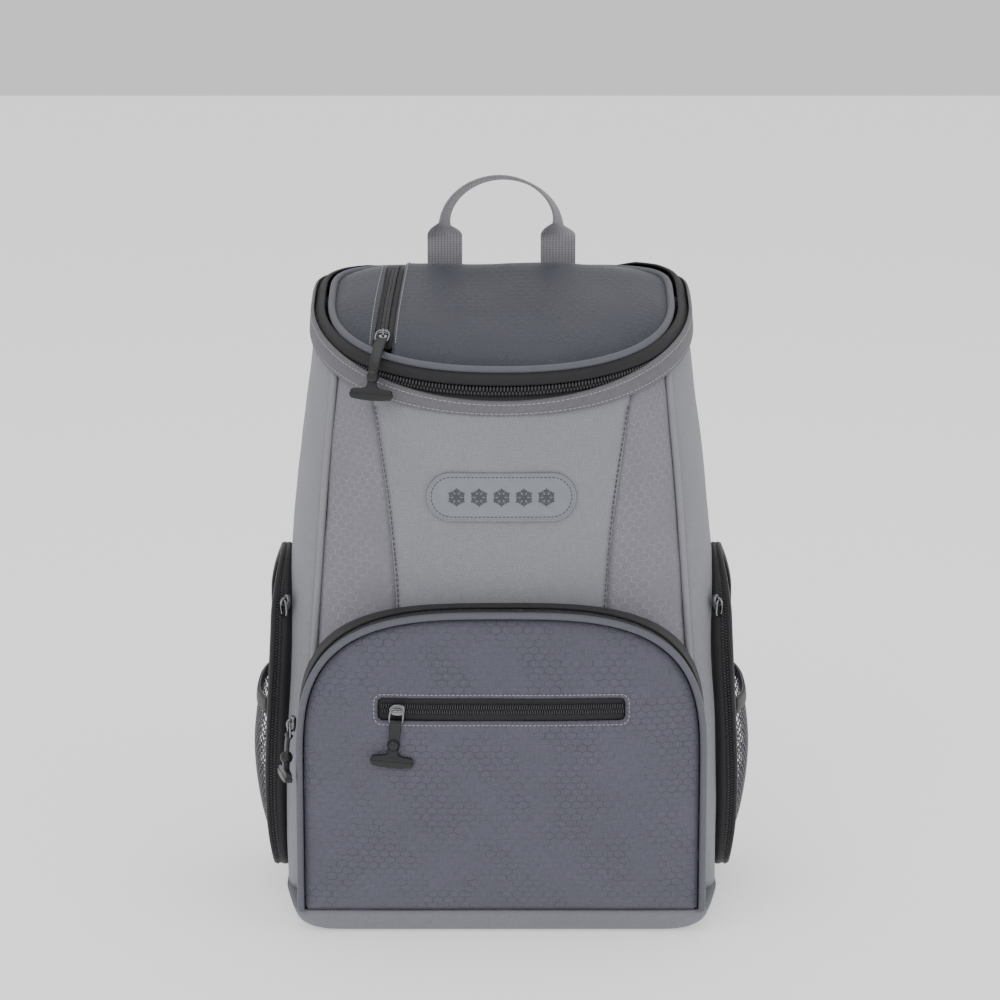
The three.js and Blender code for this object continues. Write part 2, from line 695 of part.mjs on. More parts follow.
/** Stitched hem on the outside of the rim, the zip above it, and the hinge cloth where the zip stops. */
function addRim() {
  const hemOut = 2 * LAY_GAP + HEM.thickness;
  const rise = { from: -HEM.height, to: -SEAM_GAP };
  const hem = { ...rise, insetFrom: -hemOut, insetTo: -hemOut, thickness: HEM.thickness };
  rimStrip("rim_hem", "greyFabric", hem);
  const bands = {
    rim_zip_lower_tape: RIM_ZIP.lowerTape,
    rim_zip_chain: RIM_ZIP.chain,
    rim_zip_upper_tape: RIM_ZIP.upperTape,
  };
  for (const [name, band] of Object.entries(bands)) {
    rimStrip(name, name.endsWith("chain") ? "zipChain" : "zipTape", band);
  }
  const start = zipEndAt(1) + SEAM_GAP / backOf(1);
  const { to, insetTo, thickness } = RIM_ZIP.upperTape;
  const hinge = (inward) => (i, j) => rimPoint(mix(start, 4 - start, i), to * j, -insetTo * j - inward);
  addPiece("lid_hinge", sheetSolid(6, 1, hinge(0), hinge(thickness)), "greyFabric");
}

const lidOval = (() => {
  const { half, fore, forePower } = planAt(1);
  const inset = LID.edgeInset;
  const back = { aft: WIDEST_FROM_BACK - inset, aftPower: BACK_CORNER_POWER };
  return new Oval({ half: half - inset, fore: fore - inset, forePower, ...back });
})();

/** Point on the lid's top, at a depth under the surface. */
function lidPoint(x, y, under) {
  const share = Math.min(lidOval.share(x, WIDEST_Y - y), 1);
  return vector(x, y, rimHeight(y) + LID.edgeRise + LID.crown * (1 - share ** LID.crownPower) - under);
}

/** Middle of the lid pocket's zip at a depth. */
const lidZipX = (y) => mix(LID_ZIP.frontX, LID_ZIP.backX, (y - FRONT_Y) / BODY_DEPTH);

/** Depth at which the lid pocket's zip meets the lid's edge: 1 at the back, -1 at the front. */
function lidZipEnd(face) {
  let y = face < 0 ? FRONT_Y : BACK_Y;
  for (let i = 0; i < 200 && lidOval.share(lidZipX(y), WIDEST_Y - y) > 1; i++) y -= face * 0.5;
  return y;
}

/** The lid's padded top, in two panels with the pocket's zip between them, and the piping round it. */
function addLid() {
  const rings = [0.5, 0.85, 1];
  const place = (turn, j, under) => {
    const p = lidOval.at(4 * turn - 2).multiplyScalar(rings[j]);
    return lidPoint(p.x, WIDEST_Y - p.y, under);
  };
  const middle = (layer) => lidPoint(0, WIDEST_Y, layer * LID.wall);
  const outer = (turn, j) => place(turn, j, 0);
  const inner = (turn, j) => place(turn, j, LID.wall);
  const lid = toSolid(dishSolid(32, rings.length, outer, inner, middle));
  const lean = Math.atan2(LID_ZIP.backX - LID_ZIP.frontX, BODY_DEPTH);
  for (const [name, side] of [["lid_pocket_panel", -1], ["lid_top_panel", 1]]) {
    const keep = new THREE.BoxGeometry(BODY_WIDTH, 2 * BODY_DEPTH, RIM_HEIGHT);
    keep.translate(side * (BODY_WIDTH / 2 + LID_ZIP.slotWidth / 2), 0, rimHeight(0)).rotateZ(-lean);
    keep.translate(lidZipX(0), 0, 0);
    addPiece(name, fromSolid(lid.intersect(toSolid(keep))), "lidFabric");
  }
  const ring = evenly(36, (t) => bodyPoint(1, 4 * t - 2, -LID.pipingInset)).slice(0, 36);
  const rope = ring.map((p) => vector(p.x, p.y, rimHeight(p.y) + LID.pipingRise));
  addPiece("lid_piping", cordSolid(rope, PIPING_RADIUS, 5, true, vector(0, 0, 1)), "piping");
}

/** Zip of the lid's pocket: its tape closes the slot between the two panels. */
function addLidZip() {
  const [front, back] = [lidZipEnd(-1), lidZipEnd(1)];
  const strip = (width, under, trim) => (i, j) => {
    const y = mix(front + trim, back - trim, j);
    return lidPoint(lidZipX(y) + mix(-width / 2, width / 2, i), y, under);
  };
  const tapeWidth = LID_ZIP.slotWidth - 2 * SEAM_GAP;
  const tapeTop = strip(tapeWidth, LID_ZIP.sunk, 4);
  const tape = sheetSolid(1, 8, tapeTop, strip(tapeWidth, LID_ZIP.sunk + LID_ZIP.tape, 4));
  addPiece("lid_pocket_zip_tape", tape, "zipTape");
  const seat = LID_ZIP.sunk - LAY_GAP;
  const chainTop = strip(LID_ZIP.chainWidth, seat - LID_ZIP.chain, 6);
  const chain = sheetSolid(1, 8, chainTop, strip(LID_ZIP.chainWidth, seat, 6));
  addPiece("lid_pocket_zip_chain", chain, "zipChain");
}

// Grab handle

/** Webbing handle: flat feet on the back, a quarter turn, and an arch with its width front to back. */
function addHandle() {
  const standOff = HEM.thickness + LAY_GAP * 2 + WEBBING.thickness / 2;
  const y = BACK_Y + standOff;
  const half = HANDLE.span / 2;
  const legs = [HANDLE.footBottom, (HANDLE.footBottom + HANDLE.springing) / 2, HANDLE.springing];
  const leg = [
    ...legs.map((z) => ({ x: half, z, turn: 0 })),
    ...evenly(3, (t) => ({ x: half, z: HANDLE.springing + HANDLE.twist * t, turn: t })).slice(1),
  ];
  const springing = HANDLE.springing + HANDLE.twist;
  const rise = new Quarter(half, HANDLE.top - springing, HANDLE.archPower);
  const arch = evenly(8, (t) => rise.at(1 - t)).map((p) => ({ x: p.x, z: springing + p.y, turn: 1 }));
  const rightHalf = [...leg, ...arch.slice(1)];
  const leftHalf = rightHalf.slice(0, -1).reverse().map(({ x, z, turn }) => ({ x: -x, z, turn: 2 - turn }));
  const route = [...rightHalf, ...leftHalf];
  const sections = route.map(({ x, z, turn }, i) => {
    const before = route[Math.max(i - 1, 0)];
    const after = route[Math.min(i + 1, route.length - 1)];
    const along = vector(after.x - before.x, 0, after.z - before.z).normalize();
    const angle = (turn * Math.PI) / 2;
    const flat = vector(0, 1, 0).cross(along);
    const wide = flat.multiplyScalar(Math.cos(angle)).add(vector(0, Math.sin(angle), 0));
    const thin = along.clone().cross(wide);
    const lean = HANDLE.rake * clamp((z - HANDLE.springing) / (HANDLE.top - HANDLE.springing), 0, 1);
    const corner = (a, b) => {
      const p = vector(x, y + lean, z).addScaledVector(wide, (a * WEBBING.width) / 2);
      return p.addScaledVector(thin, (b * WEBBING.thickness) / 2);
    };
    return [corner(-1, -1), corner(1, -1), corner(1, 1), corner(-1, 1)];
  });
  addPiece("grab_handle", loftSolid(sections), "webbing");
}

// Front pocket

const pocketFoot = BASE.seamHeight + SEAM_GAP;
function pocketDepth(z) {
  return mix(POCKET.depthFoot, POCKET.depthTop, (z - pocketFoot) / (POCKET.top - pocketFoot));
}
const pocketRimY = (z) => FRONT_Y - pocketDepth(z);

/** Outline of the pocket, grown from the middle of its piping. */
function pocketArch(grow) {
  const half = POCKET.half - PIPING_RADIUS + grow;
  const fore = POCKET.top - PIPING_RADIUS - POCKET.middle + grow;
  const foot = { aft: POCKET.middle - pocketFoot, aftPower: POCKET.footPower };
  return new Oval({ half, fore, forePower: POCKET.archPower, ...foot });
}

const pocketEdge = pocketArch(-PIPING_RADIUS - SEAM_GAP);
const pocketLine = pocketArch(0);

/** Point on the pocket's crowned panel, at a depth under its surface. */
function pocketPoint(x, z, under) {
  const share = Math.min(pocketEdge.share(x, z - POCKET.middle), 1);
  return vector(x, pocketRimY(z) - POCKET.crown * (1 - share ** 2.6) + under, z);
}

/** Point of the pocket's side wall at a place round the arch: round 2 is the foot of the wall. */
function pocketWall(round, behind, out) {
  const side = Math.sign(round) || 1;
  const way = Math.abs(round);
  const grow = out + (POCKET.flare * behind) / POCKET.depthFoot;
  if (way <= 1) {
    const p = pocketLine.out(round, grow);
    const z = POCKET.middle + p.y;
    return vector(p.x, pocketRimY(z) + behind, z);
  }
  const z = mix(POCKET.middle, pocketFoot, way - 1);
  return vector(side * (pocketLine.half + grow), pocketRimY(z) + behind, z);
}

/** The same where the wall meets the body. */
function pocketWallEnd(round, out) {
  const p = pocketWall(round, POCKET.depthFoot, out);
  const slant = Math.abs(skinNormal(-1, p.x, p.z).y);
  p.y = skinY(-1, p.x, p.z) - LAY_GAP / slant;
  return p;
}

/** Place round the arch at a height. */
function pocketRound(z) {
  if (z >= POCKET.middle) return pocketLine.roundAlong(z - POCKET.middle);
  return 1 + (POCKET.middle - z) / (POCKET.middle - pocketFoot);
}

/** Crowned panel with its slot, the piping round it, and the zip in that. */
function addFrontPocket() {
  const rings = [0.5, 0.86, 1];
  const place = (turn, j, under) => {
    const p = pocketEdge.at(4 * turn - 2).multiplyScalar(rings[j]);
    return pocketPoint(p.x, POCKET.middle + p.y, under);
  };
  const middle = (layer) => pocketPoint(0, POCKET.middle, layer * POCKET.wall);
  const [outer, inner] = [0, POCKET.wall].map((under) => (t, j) => place(t, j, under));
  const shell = dishSolid(34, rings.length, outer, inner, middle);
  const slot = plateOf(roundedShape(FRONT_ZIP.length, FRONT_ZIP.height, FRONT_ZIP.corner), 2 * BODY_DEPTH);
  slot.translate(0, FRONT_Y, FRONT_ZIP.middle);
  addPiece("pocket_panel", fromSolid(toSolid(shell).subtract(toSolid(slot))), "pocketFabric");
  const end = pocketRound(pocketFoot + SEAM_GAP);
  const rope = evenly(36, (t) => pocketWall(mix(-end, end, t), 0, 0));
  addPiece("pocket_piping", cordSolid(rope, PIPING_RADIUS, 5), "piping");
  addPocketZip(end);
}

const ARCH_COLUMNS = 26;

/** Two tapes and the chain over the arch, and the plain gusset below them on each side. */
function addPocketZip(foot) {
  const stop = pocketRound(POCKET_ZIP.endHeight);
  const tapeFrom = PIPING_RADIUS + SEAM_GAP;
  const chainFrom = tapeFrom + POCKET_ZIP.frontTape + SEAM_GAP;
  const backFrom = chainFrom + POCKET_ZIP.chainWidth + SEAM_GAP;
  const strip = (from, to, out) => (i, j) => pocketWall(mix(-stop, stop, i), mix(from, to, j), out);
  const [over, under] = [POCKET_ZIP.tape / 2, -POCKET_ZIP.tape / 2];
  const tapeStrip = (out) => strip(tapeFrom, chainFrom - SEAM_GAP, out);
  const tape = sheetSolid(ARCH_COLUMNS, 1, tapeStrip(over), tapeStrip(under));
  addPiece("pocket_zip_front_tape", tape, "zipTape");
  const [proud, deep] = [POCKET_ZIP.chain * 0.6, -POCKET_ZIP.chain * 0.4];
  const chainStrip = (out) => strip(chainFrom, backFrom - SEAM_GAP, out);
  const chain = sheetSolid(ARCH_COLUMNS, 1, chainStrip(proud), chainStrip(deep));
  addPiece("pocket_zip_chain", chain, "zipChain");
  const behind = (start, end, from, out) => (i, j) => {
    const round = mix(start, end, i);
    return j ? pocketWallEnd(round, out) : pocketWall(round, from, out);
  };
  const backStrip = (out) => behind(-stop, stop, backFrom, out);
  const backTape = sheetSolid(ARCH_COLUMNS, 1, backStrip(over), backStrip(under));
  addPiece("pocket_zip_back_tape", backTape, "zipTape");
  const top = pocketRound(POCKET_ZIP.endHeight - 2 * SEAM_GAP);
  for (const [hand, side] of Object.entries(SIDES)) {
    const wall = (out) => behind(side * top, side * foot, tapeFrom, out);
    addPiece(`pocket_gusset_${hand}`, sheetSolid(5, 1, wall(over), wall(over - POCKET.wall)), "greyFabric");
  }
  const seat = pocketWall(-pocketRound(SLIDER_AT.pocketZ), (chainFrom + backFrom) / 2, proud + 2 * LAY_GAP);
  addSlider("pocket_zip", seat, vector(-1, 0, 0), vector(0, 0, -1), HANGING);
}

/** Zip across the front pocket's panel: its tape closes the slot. */
function addFrontZip() {
  const strip = (width, height, under) => (i, j) => {
    const z = FRONT_ZIP.middle + mix(-height / 2, height / 2, j);
    return pocketPoint(mix(-width / 2, width / 2, i), z, under);
  };
  const width = FRONT_ZIP.length - 2 * SEAM_GAP - FRONT_ZIP.corner;
  const height = FRONT_ZIP.height - 2 * SEAM_GAP;
  const tapeStrip = (under) => strip(width, height, under);
  const tape = sheetSolid(8, 1, tapeStrip(FRONT_ZIP.sunk), tapeStrip(FRONT_ZIP.sunk + FRONT_ZIP.tape));
  addPiece("front_zip_tape", tape, "zipTape");
  const seat = FRONT_ZIP.sunk - LAY_GAP;
  const length = width - 2 * FRONT_ZIP.corner;
  const chainTop = strip(length, FRONT_ZIP.chainWidth, seat - FRONT_ZIP.chain);
  const chain = sheetSolid(8, 1, chainTop, strip(length, FRONT_ZIP.chainWidth, seat));
  addPiece("front_zip_chain", chain, "zipChain");
  const sliderSeat = pocketPoint(SLIDER_AT.frontX, FRONT_ZIP.middle, seat - FRONT_ZIP.chain - 2 * LAY_GAP);
  addSlider("front_zip", sliderSeat, vector(0, -1, 0), vector(-0.17, 0, -1), HANGING);
}

/** Oval patch with a raised edge, lying on the front panel. */
function addBadge() {
  const [reach, power] = [BADGE.height / 2, BADGE.power];
  const outline = { fore: reach, aft: reach, forePower: power, aftPower: power };
  const oval = new Oval({ half: BADGE.width / 2, ...outline });
  const rings = [
    { scale: 0.55, grow: 0, rise: 0 },
    { scale: 1, grow: -BADGE.edge - 0.6, rise: 0 },
    { scale: 1, grow: -BADGE.edge, rise: BADGE.edgeRise },
    { scale: 1, grow: 0, rise: BADGE.edgeRise },
  ];
  const place = (turn, j, out) => {
    const p = oval.out(4 * turn - 2, rings[j].grow).multiplyScalar(rings[j].scale);
    return facePoint(-1, p.x, BADGE.middle + p.y, out);
  };
  const outer = (turn, j) => place(turn, j, LAY_GAP + BADGE.thickness + rings[j].rise);
  const inner = (turn, j) => place(turn, j, LAY_GAP);
  const middle = (layer) => facePoint(-1, 0, BADGE.middle, layer ? LAY_GAP : LAY_GAP + BADGE.thickness);
  addPiece("badge", dishSolid(20, rings.length, outer, inner, middle), "badgeRubber");
}

// Side pockets

const sideOval = new Oval({
  half: SIDE_POCKET.half,
  fore: SIDE_POCKET.top - SIDE_POCKET.middle,
  forePower: SIDE_POCKET.archPower,
  aft: SIDE_POCKET.middle - SIDE_POCKET.bottom,
  aftPower: SIDE_POCKET.footPower,
});

/** How far the edge of the side pocket's face stands off the body at a height. */
function sideRise(z) {
  const share = clamp((z - SIDE_POCKET.bottom) / (SIDE_POCKET.top - SIDE_POCKET.bottom), 0, 1);
  return SIDE_POCKET_FACE.rise * sideRiseAt(share);
}

/** Point over the face of a side pocket. */
function sideFace(side, y, z, out) {
  const share = Math.min(sideOval.share(y - SIDE_POCKET.middleY, z - SIDE_POCKET.middle), 1);
  return flankPoint(side, y, z, sideRise(z) + SIDE_POCKET_FACE.crown * (1 - share ** 2) + out);
}

/** Point of a side pocket's edge wall, at a distance off the body and out from its outline. */
function sideEdge(side, round, off, out) {
  const p = sideOval.out(round, out);
  return flankPoint(side, SIDE_POCKET.middleY + p.x, SIDE_POCKET.middle + p.y, off);
}

const SIDE_COLUMNS = 24;

/** Face, black zip wall and zip chain of each side pocket. */
function addSidePockets() {
  const rings = [0.45, 0.8, 1];
  for (const [hand, side] of Object.entries(SIDES)) {
    const place = (turn, j, out) => {
      const p = sideOval.at(4 * turn - 2).multiplyScalar(rings[j]);
      return sideFace(side, SIDE_POCKET.middleY + p.x, SIDE_POCKET.middle + p.y, out);
    };
    const under = (layer) => -layer * SIDE_POCKET.wall;
    const middle = (layer) => sideFace(side, SIDE_POCKET.middleY, SIDE_POCKET.middle, under(layer));
    const outer = (turn, j) => place(turn, j, 0);
    const inner = (turn, j) => place(turn, j, -SIDE_POCKET.wall);
    const face = dishSolid(SIDE_COLUMNS, rings.length, outer, inner, middle);
    addPiece(`side_pocket_panel_${hand}`, face, "greyFabric");
    const level = (z, share) => mix(LAY_GAP, sideRise(z) - SIDE_POCKET.wall - SEAM_GAP, share);
    const wall = (out) => (i, j) => {
      const round = 4 * i - 2;
      return sideEdge(side, round, level(SIDE_POCKET.middle + sideOval.at(round).y, j), out);
    };
    const tape = sheetSolid(SIDE_COLUMNS, 1, wall(0), wall(-POCKET_ZIP.tape), true);
    addPiece(`side_pocket_zip_tape_${hand}`, tape, "zipTape");
    addSideChain(hand, side, level);
    addMeshSleeve(hand, side);
  }
}

/** Chain that stands proud of a side pocket's wall, and its slider near the top of the front edge. */
function addSideChain(hand, side, level) {
  const columns = SIDE_COLUMNS - 4;
  const foot = (2 * columns) / SIDE_COLUMNS;
  const chain = (out) => (i, j) => {
    const round = mix(-foot, foot, i);
    const top = level(SIDE_POCKET.middle + sideOval.at(round).y, 1);
    return sideEdge(side, round, j ? top : Math.max(top - SIDE_CHAIN.width, top / 2), out);
  };
  const proud = LAY_GAP + SIDE_CHAIN.proud;
  addPiece(`side_pocket_zip_chain_${hand}`, sheetSolid(columns, 1, chain(proud), chain(LAY_GAP)), "zipChain");
  const round = -sideOval.roundAlong(SLIDER_AT.sideZ - SIDE_POCKET.middle);
  const seat = sideEdge(side, round, level(SLIDER_AT.sideZ, 1) - SIDE_CHAIN.width / 2, proud + 3 * LAY_GAP);
  const outward = sideEdge(side, round, 0, 2).sub(sideEdge(side, round, 0, 1)).normalize();
  const hang = sideEdge(side, round - 0.02, 0, 0).sub(sideEdge(side, round, 0, 0));
  addSlider(`side_pocket_${hand}`, seat, outward, hang);
}

/** Place on the mesh sleeve: i runs across it and j up it. */
function meshPoint(side, i, j, out) {
  const z = mix(MESH.bottom, MESH.top, j);
  const half = sideOval.halfAt(z - SIDE_POCKET.middle) - MESH.margin;
  const y = SIDE_POCKET.middleY + mix(-half, half, i);
  const belly = MESH.belly * bellyAt(j) * (1 - Math.abs(2 * i - 1) ** MESH.bellyPower);
  return sideFace(side, y, z, LAY_GAP + belly + out);
}

/** Coarse net that is cut through, with a hem along its top. */
function addMeshSleeve(hand, side) {
  const { columns, rows, hole } = MESH;
  const points = [];
  const triangles = [];
  const known = new Map();
  const point = ([i, j], layer) => {
    const key = [i.toFixed(4), j.toFixed(4), layer].join();
    if (!known.has(key)) {
      known.set(key, points.length);
      points.push(meshPoint(side, i, j, layer ? 0 : MESH.thickness));
    }
    return known.get(key);
  };
  const face = (loop) => {
    triangles.push(...quad(...loop.map((place) => point(place, 0))));
    triangles.push(...quad(...loop.map((place) => point(place, 1)).reverse()));
  };
  const edge = (a, b) => triangles.push(...quad(point(b, 0), point(a, 0), point(a, 1), point(b, 1)));
  const [wide, high] = [1 / columns, 1 / rows];
  const box = (c, r, inset) => {
    const [u0, u1] = [(c + inset) * wide, (c + 1 - inset) * wide];
    const [v0, v1] = [(r + inset) * high, (r + 1 - inset) * high];
    return [[u0, v0], [u1, v0], [u1, v1], [u0, v1]];
  };
  for (let c = 0; c < columns; c++) {
    for (let r = 0; r < rows; r++) {
      const [rim, gap] = [box(c, r, 0), box(c, r, (1 - hole) / 2)];
      for (let k = 0; k < 4; k++) {
        const next = (k + 1) % 4;
        face([rim[k], rim[next], gap[next], gap[k]]);
        edge(gap[next], gap[k]);
      }
      if (r === 0) edge(rim[0], rim[1]);
      if (c === columns - 1) edge(rim[1], rim[2]);
      if (r === rows - 1) edge(rim[2], rim[3]);
      if (c === 0) edge(rim[3], rim[0]);
    }
  }
  addPiece(`mesh_pocket_${hand}`, closedGeometry(points, triangles), "mesh");
  const share = MESH_HEM.height / (MESH.top - MESH.bottom);
  const hem = (out) => (i, j) => meshPoint(side, i, mix(1 - share, 1, j), out);
  const over = MESH.thickness + LAY_GAP;
  addPiece(`mesh_pocket_hem_${hand}`, sheetSolid(8, 1, hem(over + MESH_HEM.thickness), hem(over)), "zipTape");
}

// Zip sliders and pulls

const LOOP_Y = -SLIDER.thickness - SLIDER.wire - LAY_GAP;

/** Slider body with the wire loop that carries its pull. Its back lies on y = 0 and the loop hangs down. */
function sliderSolid() {
  const [w, l] = [SLIDER.width / 2, SLIDER.length / 2];
  const shape = new THREE.Shape();
  shape.moveTo(-w * 0.6, -l);
  [[w * 0.6, -l], [w, 0], [w * 0.8, l], [-w * 0.8, l], [-w, 0]].forEach(([x, z]) => shape.lineTo(x, z));
  const body = plateOf(shape, SLIDER.thickness).translate(0, -SLIDER.thickness / 2, 0);
  const half = SLIDER.loopWidth / 2;
  const foot = -SLIDER.loopLength;
  const bend = foot * 0.4;
  const right = [[half * 0.4, l * 0.2], [half, bend], [half, foot]];
  const corners = [...right, ...right.map(([x, z]) => [-x, z]).reverse()];
  const wire = corners.map(([x, z]) => vector(x, LOOP_Y, z));
  const loop = cordSolid(wire, SLIDER.wire, 4, true, vector(0, 1, 0));
  const post = new THREE.BoxGeometry(half * 0.8, SLIDER.wire * 2.4, l * 0.5);
  post.translate(0, LOOP_Y + SLIDER.wire * 0.6, l * 0.2);
  return joined(body, loop, post);
}

/** Rubber pull on a slider's loop: knuckle, strap, ball and cross bar. Tilt is the slider's lean. */
function pullSolid(route, tilt) {
  const start = vector(0, LOOP_Y, -SLIDER.loopLength);
  const eye = new THREE.Shape();
  eye.absarc(0, 0, PULL.knuckle, 0, 2 * Math.PI);
  const hole = new THREE.Path();
  hole.absarc(0, 0, SLIDER.wire + SEAM_GAP, 0, 2 * Math.PI, true);
  eye.holes.push(hole);
  const flatEnds = { depth: PULL.strapWidth, bevelEnabled: false, curveSegments: 3 };
  const knuckle = new THREE.ExtrudeGeometry(eye, flatEnds);
  knuckle.translate(0, 0, -PULL.strapWidth / 2).rotateY(Math.PI / 2).translate(start.x, start.y, start.z);
  const level = vector(1, 0, 0);
  const place = ({ forward, drop }) => vector(0, -forward, -drop).applyAxisAngle(level, tilt).add(start);
  const points = route.map(place);
  const sections = points.map((p, i) => {
    const before = points[Math.max(i - 1, 0)];
    const after = points[Math.min(i + 1, points.length - 1)];
    const thin = after.clone().sub(before).normalize().cross(level);
    const corner = (a, b) => {
      const aside = vector((a * PULL.strapWidth) / 2, 0, 0);
      return p.clone().add(aside).addScaledVector(thin, (b * PULL.strap) / 2);
    };
    return [corner(-1, -1), corner(1, -1), corner(1, 1), corner(-1, 1)];
  });
  const along = points.at(-1).clone().sub(points.at(-2)).normalize();
  const ballAt = points.at(-1).clone().addScaledVector(along, PULL_LENGTH.ball - PULL_LENGTH.bar);
  const ball = new THREE.SphereGeometry(PULL.ball, 7, 5).translate(ballAt.x, ballAt.y, ballAt.z);
  const barShape = roundedShape(PULL.bar, PULL.barHeight, PULL.barHeight * 0.35);
  const bar = plateOf(barShape, PULL.barThickness, 2).rotateX(Math.atan2(-along.y, -along.z));
  bar.translate(points.at(-1).x, points.at(-1).y, points.at(-1).z);
  return joined(knuckle, loftSolid(sections), ball, bar);
}

const HANGING = [
  { forward: 0, drop: PULL.knuckle * 0.8 },
  { forward: 1.4, drop: PULL_LENGTH.bar },
];

/** Places a slider on a surface with these outward and hanging directions, and its pull if it has a route. */
function addSlider(name, point, outward, hang, route, tilt = 0) {
  const along = hang.clone().addScaledVector(outward, -hang.dot(outward)).normalize();
  const turn = new THREE.Matrix4();
  turn.makeBasis(outward.clone().cross(along), outward.clone().negate(), along.clone().negate());
  const group = new THREE.Group();
  group.quaternion.setFromRotationMatrix(turn);
  group.position.copy(point);
  bag.add(group);
  addPiece(`${name}_slider`, sliderSolid(), "sliderMetal", group);
  if (route) addPiece(`${name}_pull`, pullSolid(route, tilt), "pullRubber", group);
}

/** Sliders of the lid's pocket and of the rim, on their chains. */
function addLidSliders() {
  const seat = LID_ZIP.sunk - 3 * LAY_GAP - LID_ZIP.chain;
  const onLid = (y) => lidPoint(lidZipX(y), y, seat);
  const middle = FRONT_Y + SLIDER_AT.lidFromFront;
  const rise = onLid(middle + SLIDER.length / 2).sub(onLid(middle - SLIDER.length / 2));
  const outward = vector(0, -rise.z, rise.y).normalize();
  const point = onLid(middle);
  const tilt = Math.PI / 2 - Math.atan2(rise.z, rise.y);
  addSlider("lid_pocket_zip", point, outward, vector(0, -1, 0), LID_PULL_ROUTE, tilt);
  const { from, to, insetFrom, insetTo } = RIM_ZIP.chain;
  const round = 2 - planAt(1).aftQuarter.shareAcross(ZIP_END_HALF + SLIDER.width);
  const rimSeat = rimPoint(round, (from + to) / 2, 2 * LAY_GAP - Math.min(insetFrom, insetTo));
  addSlider("rim_zip", rimSeat, vector(0, 1, 0), vector(0, 0, -1), HANGING);
}

// Shoulder straps

/** Strap yoke, padded straps, and what is at the foot of each. */
function addShoulderStraps() {
  const yokeFoot = YOKE.top - YOKE.height;
  const yokeX = (i) => mix(-YOKE.width / 2, YOKE.width / 2, i);
  const yoke = (out) => (i, j) => facePoint(1, yokeX(i), mix(yokeFoot, YOKE.top, j), out);
  addPiece("strap_yoke", sheetSolid(6, 1, yoke(LAY_GAP + YOKE.thickness), yoke(LAY_GAP)), "greyFabric");
  for (const [hand, side] of Object.entries(SIDES)) {
    const middle = (t) => ({
      x: side * (STRAP.topX + STRAP.spread * strapOutAt(t)),
      z: yokeFoot - SEAM_GAP - STRAP.length * t,
      off: LAY_GAP + STRAP.thickness / 2 + STRAP.standOff * strapOffAt(t),
    });
    const sections = evenly(10, (t) => {
      const here = middle(t);
      const half = mix(STRAP.width, STRAP.endWidth, t ** 2) / 2;
      return Array.from({ length: 10 }, (_, k) => {
        const [c, s] = [Math.cos((Math.PI * k) / 5), Math.sin((Math.PI * k) / 5)];
        const x = here.x + half * Math.sign(c) * Math.abs(c) ** 0.5;
        const rise = (STRAP.thickness / 2) * Math.sign(s) * Math.abs(s) ** 0.6;
        return vector(x, skinY(1, here.x, here.z) + here.off + rise, here.z);
      });
    });
    addPiece(`shoulder_strap_${hand}`, loftSolid(sections), "greyFabric");
    addStrapFoot(hand, side, middle(1));
  }
}

/** Buckle under a strap's end, and the webbing from it to the tab at the foot of the back. */
function addStrapFoot(hand, side, end) {
  const shape = roundedShape(BUCKLE.width, BUCKLE.length, BUCKLE.rail);
  const windowHeight = (BUCKLE.length - 3 * BUCKLE.bar) / 2;
  for (const way of [-1, 1]) {
    const middle = (way * (BUCKLE.bar + windowHeight)) / 2;
    const window = roundedShape(BUCKLE.width - 2 * BUCKLE.rail, windowHeight, 1).getPoints(1).reverse();
    shape.holes.push(new THREE.Path(window.map((p) => new THREE.Vector2(p.x, p.y + middle))));
  }
  const y = skinY(1, end.x, end.z) + end.off;
  const top = end.z - SEAM_GAP;
  const buckle = plateOf(shape, BUCKLE.thickness, 2).translate(end.x, y, top - BUCKLE.length / 2);
  addPiece(`strap_buckle_${hand}`, buckle, "buckle");
  const anchorTop = ANCHOR.z + ANCHOR.height / 2;
  const from = vector(end.x, y, top - BUCKLE.length - SEAM_GAP);
  const tabY = skinY(1, side * ANCHOR.x, anchorTop) + LAY_GAP + ANCHOR.thickness / 2;
  const to = vector(side * ANCHOR.x, tabY, anchorTop + SEAM_GAP);
  const webbing = evenly(4, (t) => {
    const p = from.clone().lerp(to, t);
    p.y = Math.max(p.y, skinY(1, Math.abs(p.x) - WEBBING.width / 2, p.z) + LAY_GAP + WEBBING.thickness);
    const corner = (a, b) => p.clone().add(vector((a * WEBBING.width) / 2, (b * WEBBING.thickness) / 2, 0));
    return [corner(-1, -1), corner(1, -1), corner(1, 1), corner(-1, 1)];
  });
  addPiece(`strap_webbing_${hand}`, loftSolid(webbing), "webbing");
  const tab = (out) => (i, j) => {
    const x = side * ANCHOR.x + mix(-ANCHOR.width / 2, ANCHOR.width / 2, i);
    return facePoint(1, x, ANCHOR.z + mix(-ANCHOR.height / 2, ANCHOR.height / 2, j), out);
  };
  const patch = sheetSolid(4, 1, tab(LAY_GAP + ANCHOR.thickness), tab(LAY_GAP));
  addPiece(`strap_tab_${hand}`, patch, "greyFabric");
}

addBase();
addWalls();
addBodyPiping();
addRim();
addLid();
addLidZip();
addLidSliders();
addHandle();
addFrontPocket();
addFrontZip();
addBadge();
addSidePockets();
addShoulderStraps();

// The origin is under the middle of the whole bag
const bounds = new THREE.Box3().setFromObject(bag);
for (const piece of bag.children) piece.position.y -= (bounds.min.y + bounds.max.y) / 2;

export default bag;
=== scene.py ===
"""Looks of a cooler backpack: sewn cloths, zips, piping, net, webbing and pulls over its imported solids."""

import logging
import math
from collections.abc import Callable, Sequence
from dataclasses import dataclass, field
from enum import Enum
from functools import cache
from typing import ClassVar

import bpy
import numpy as np
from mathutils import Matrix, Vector, noise
from mathutils.geometry import delaunay_2d_cdt


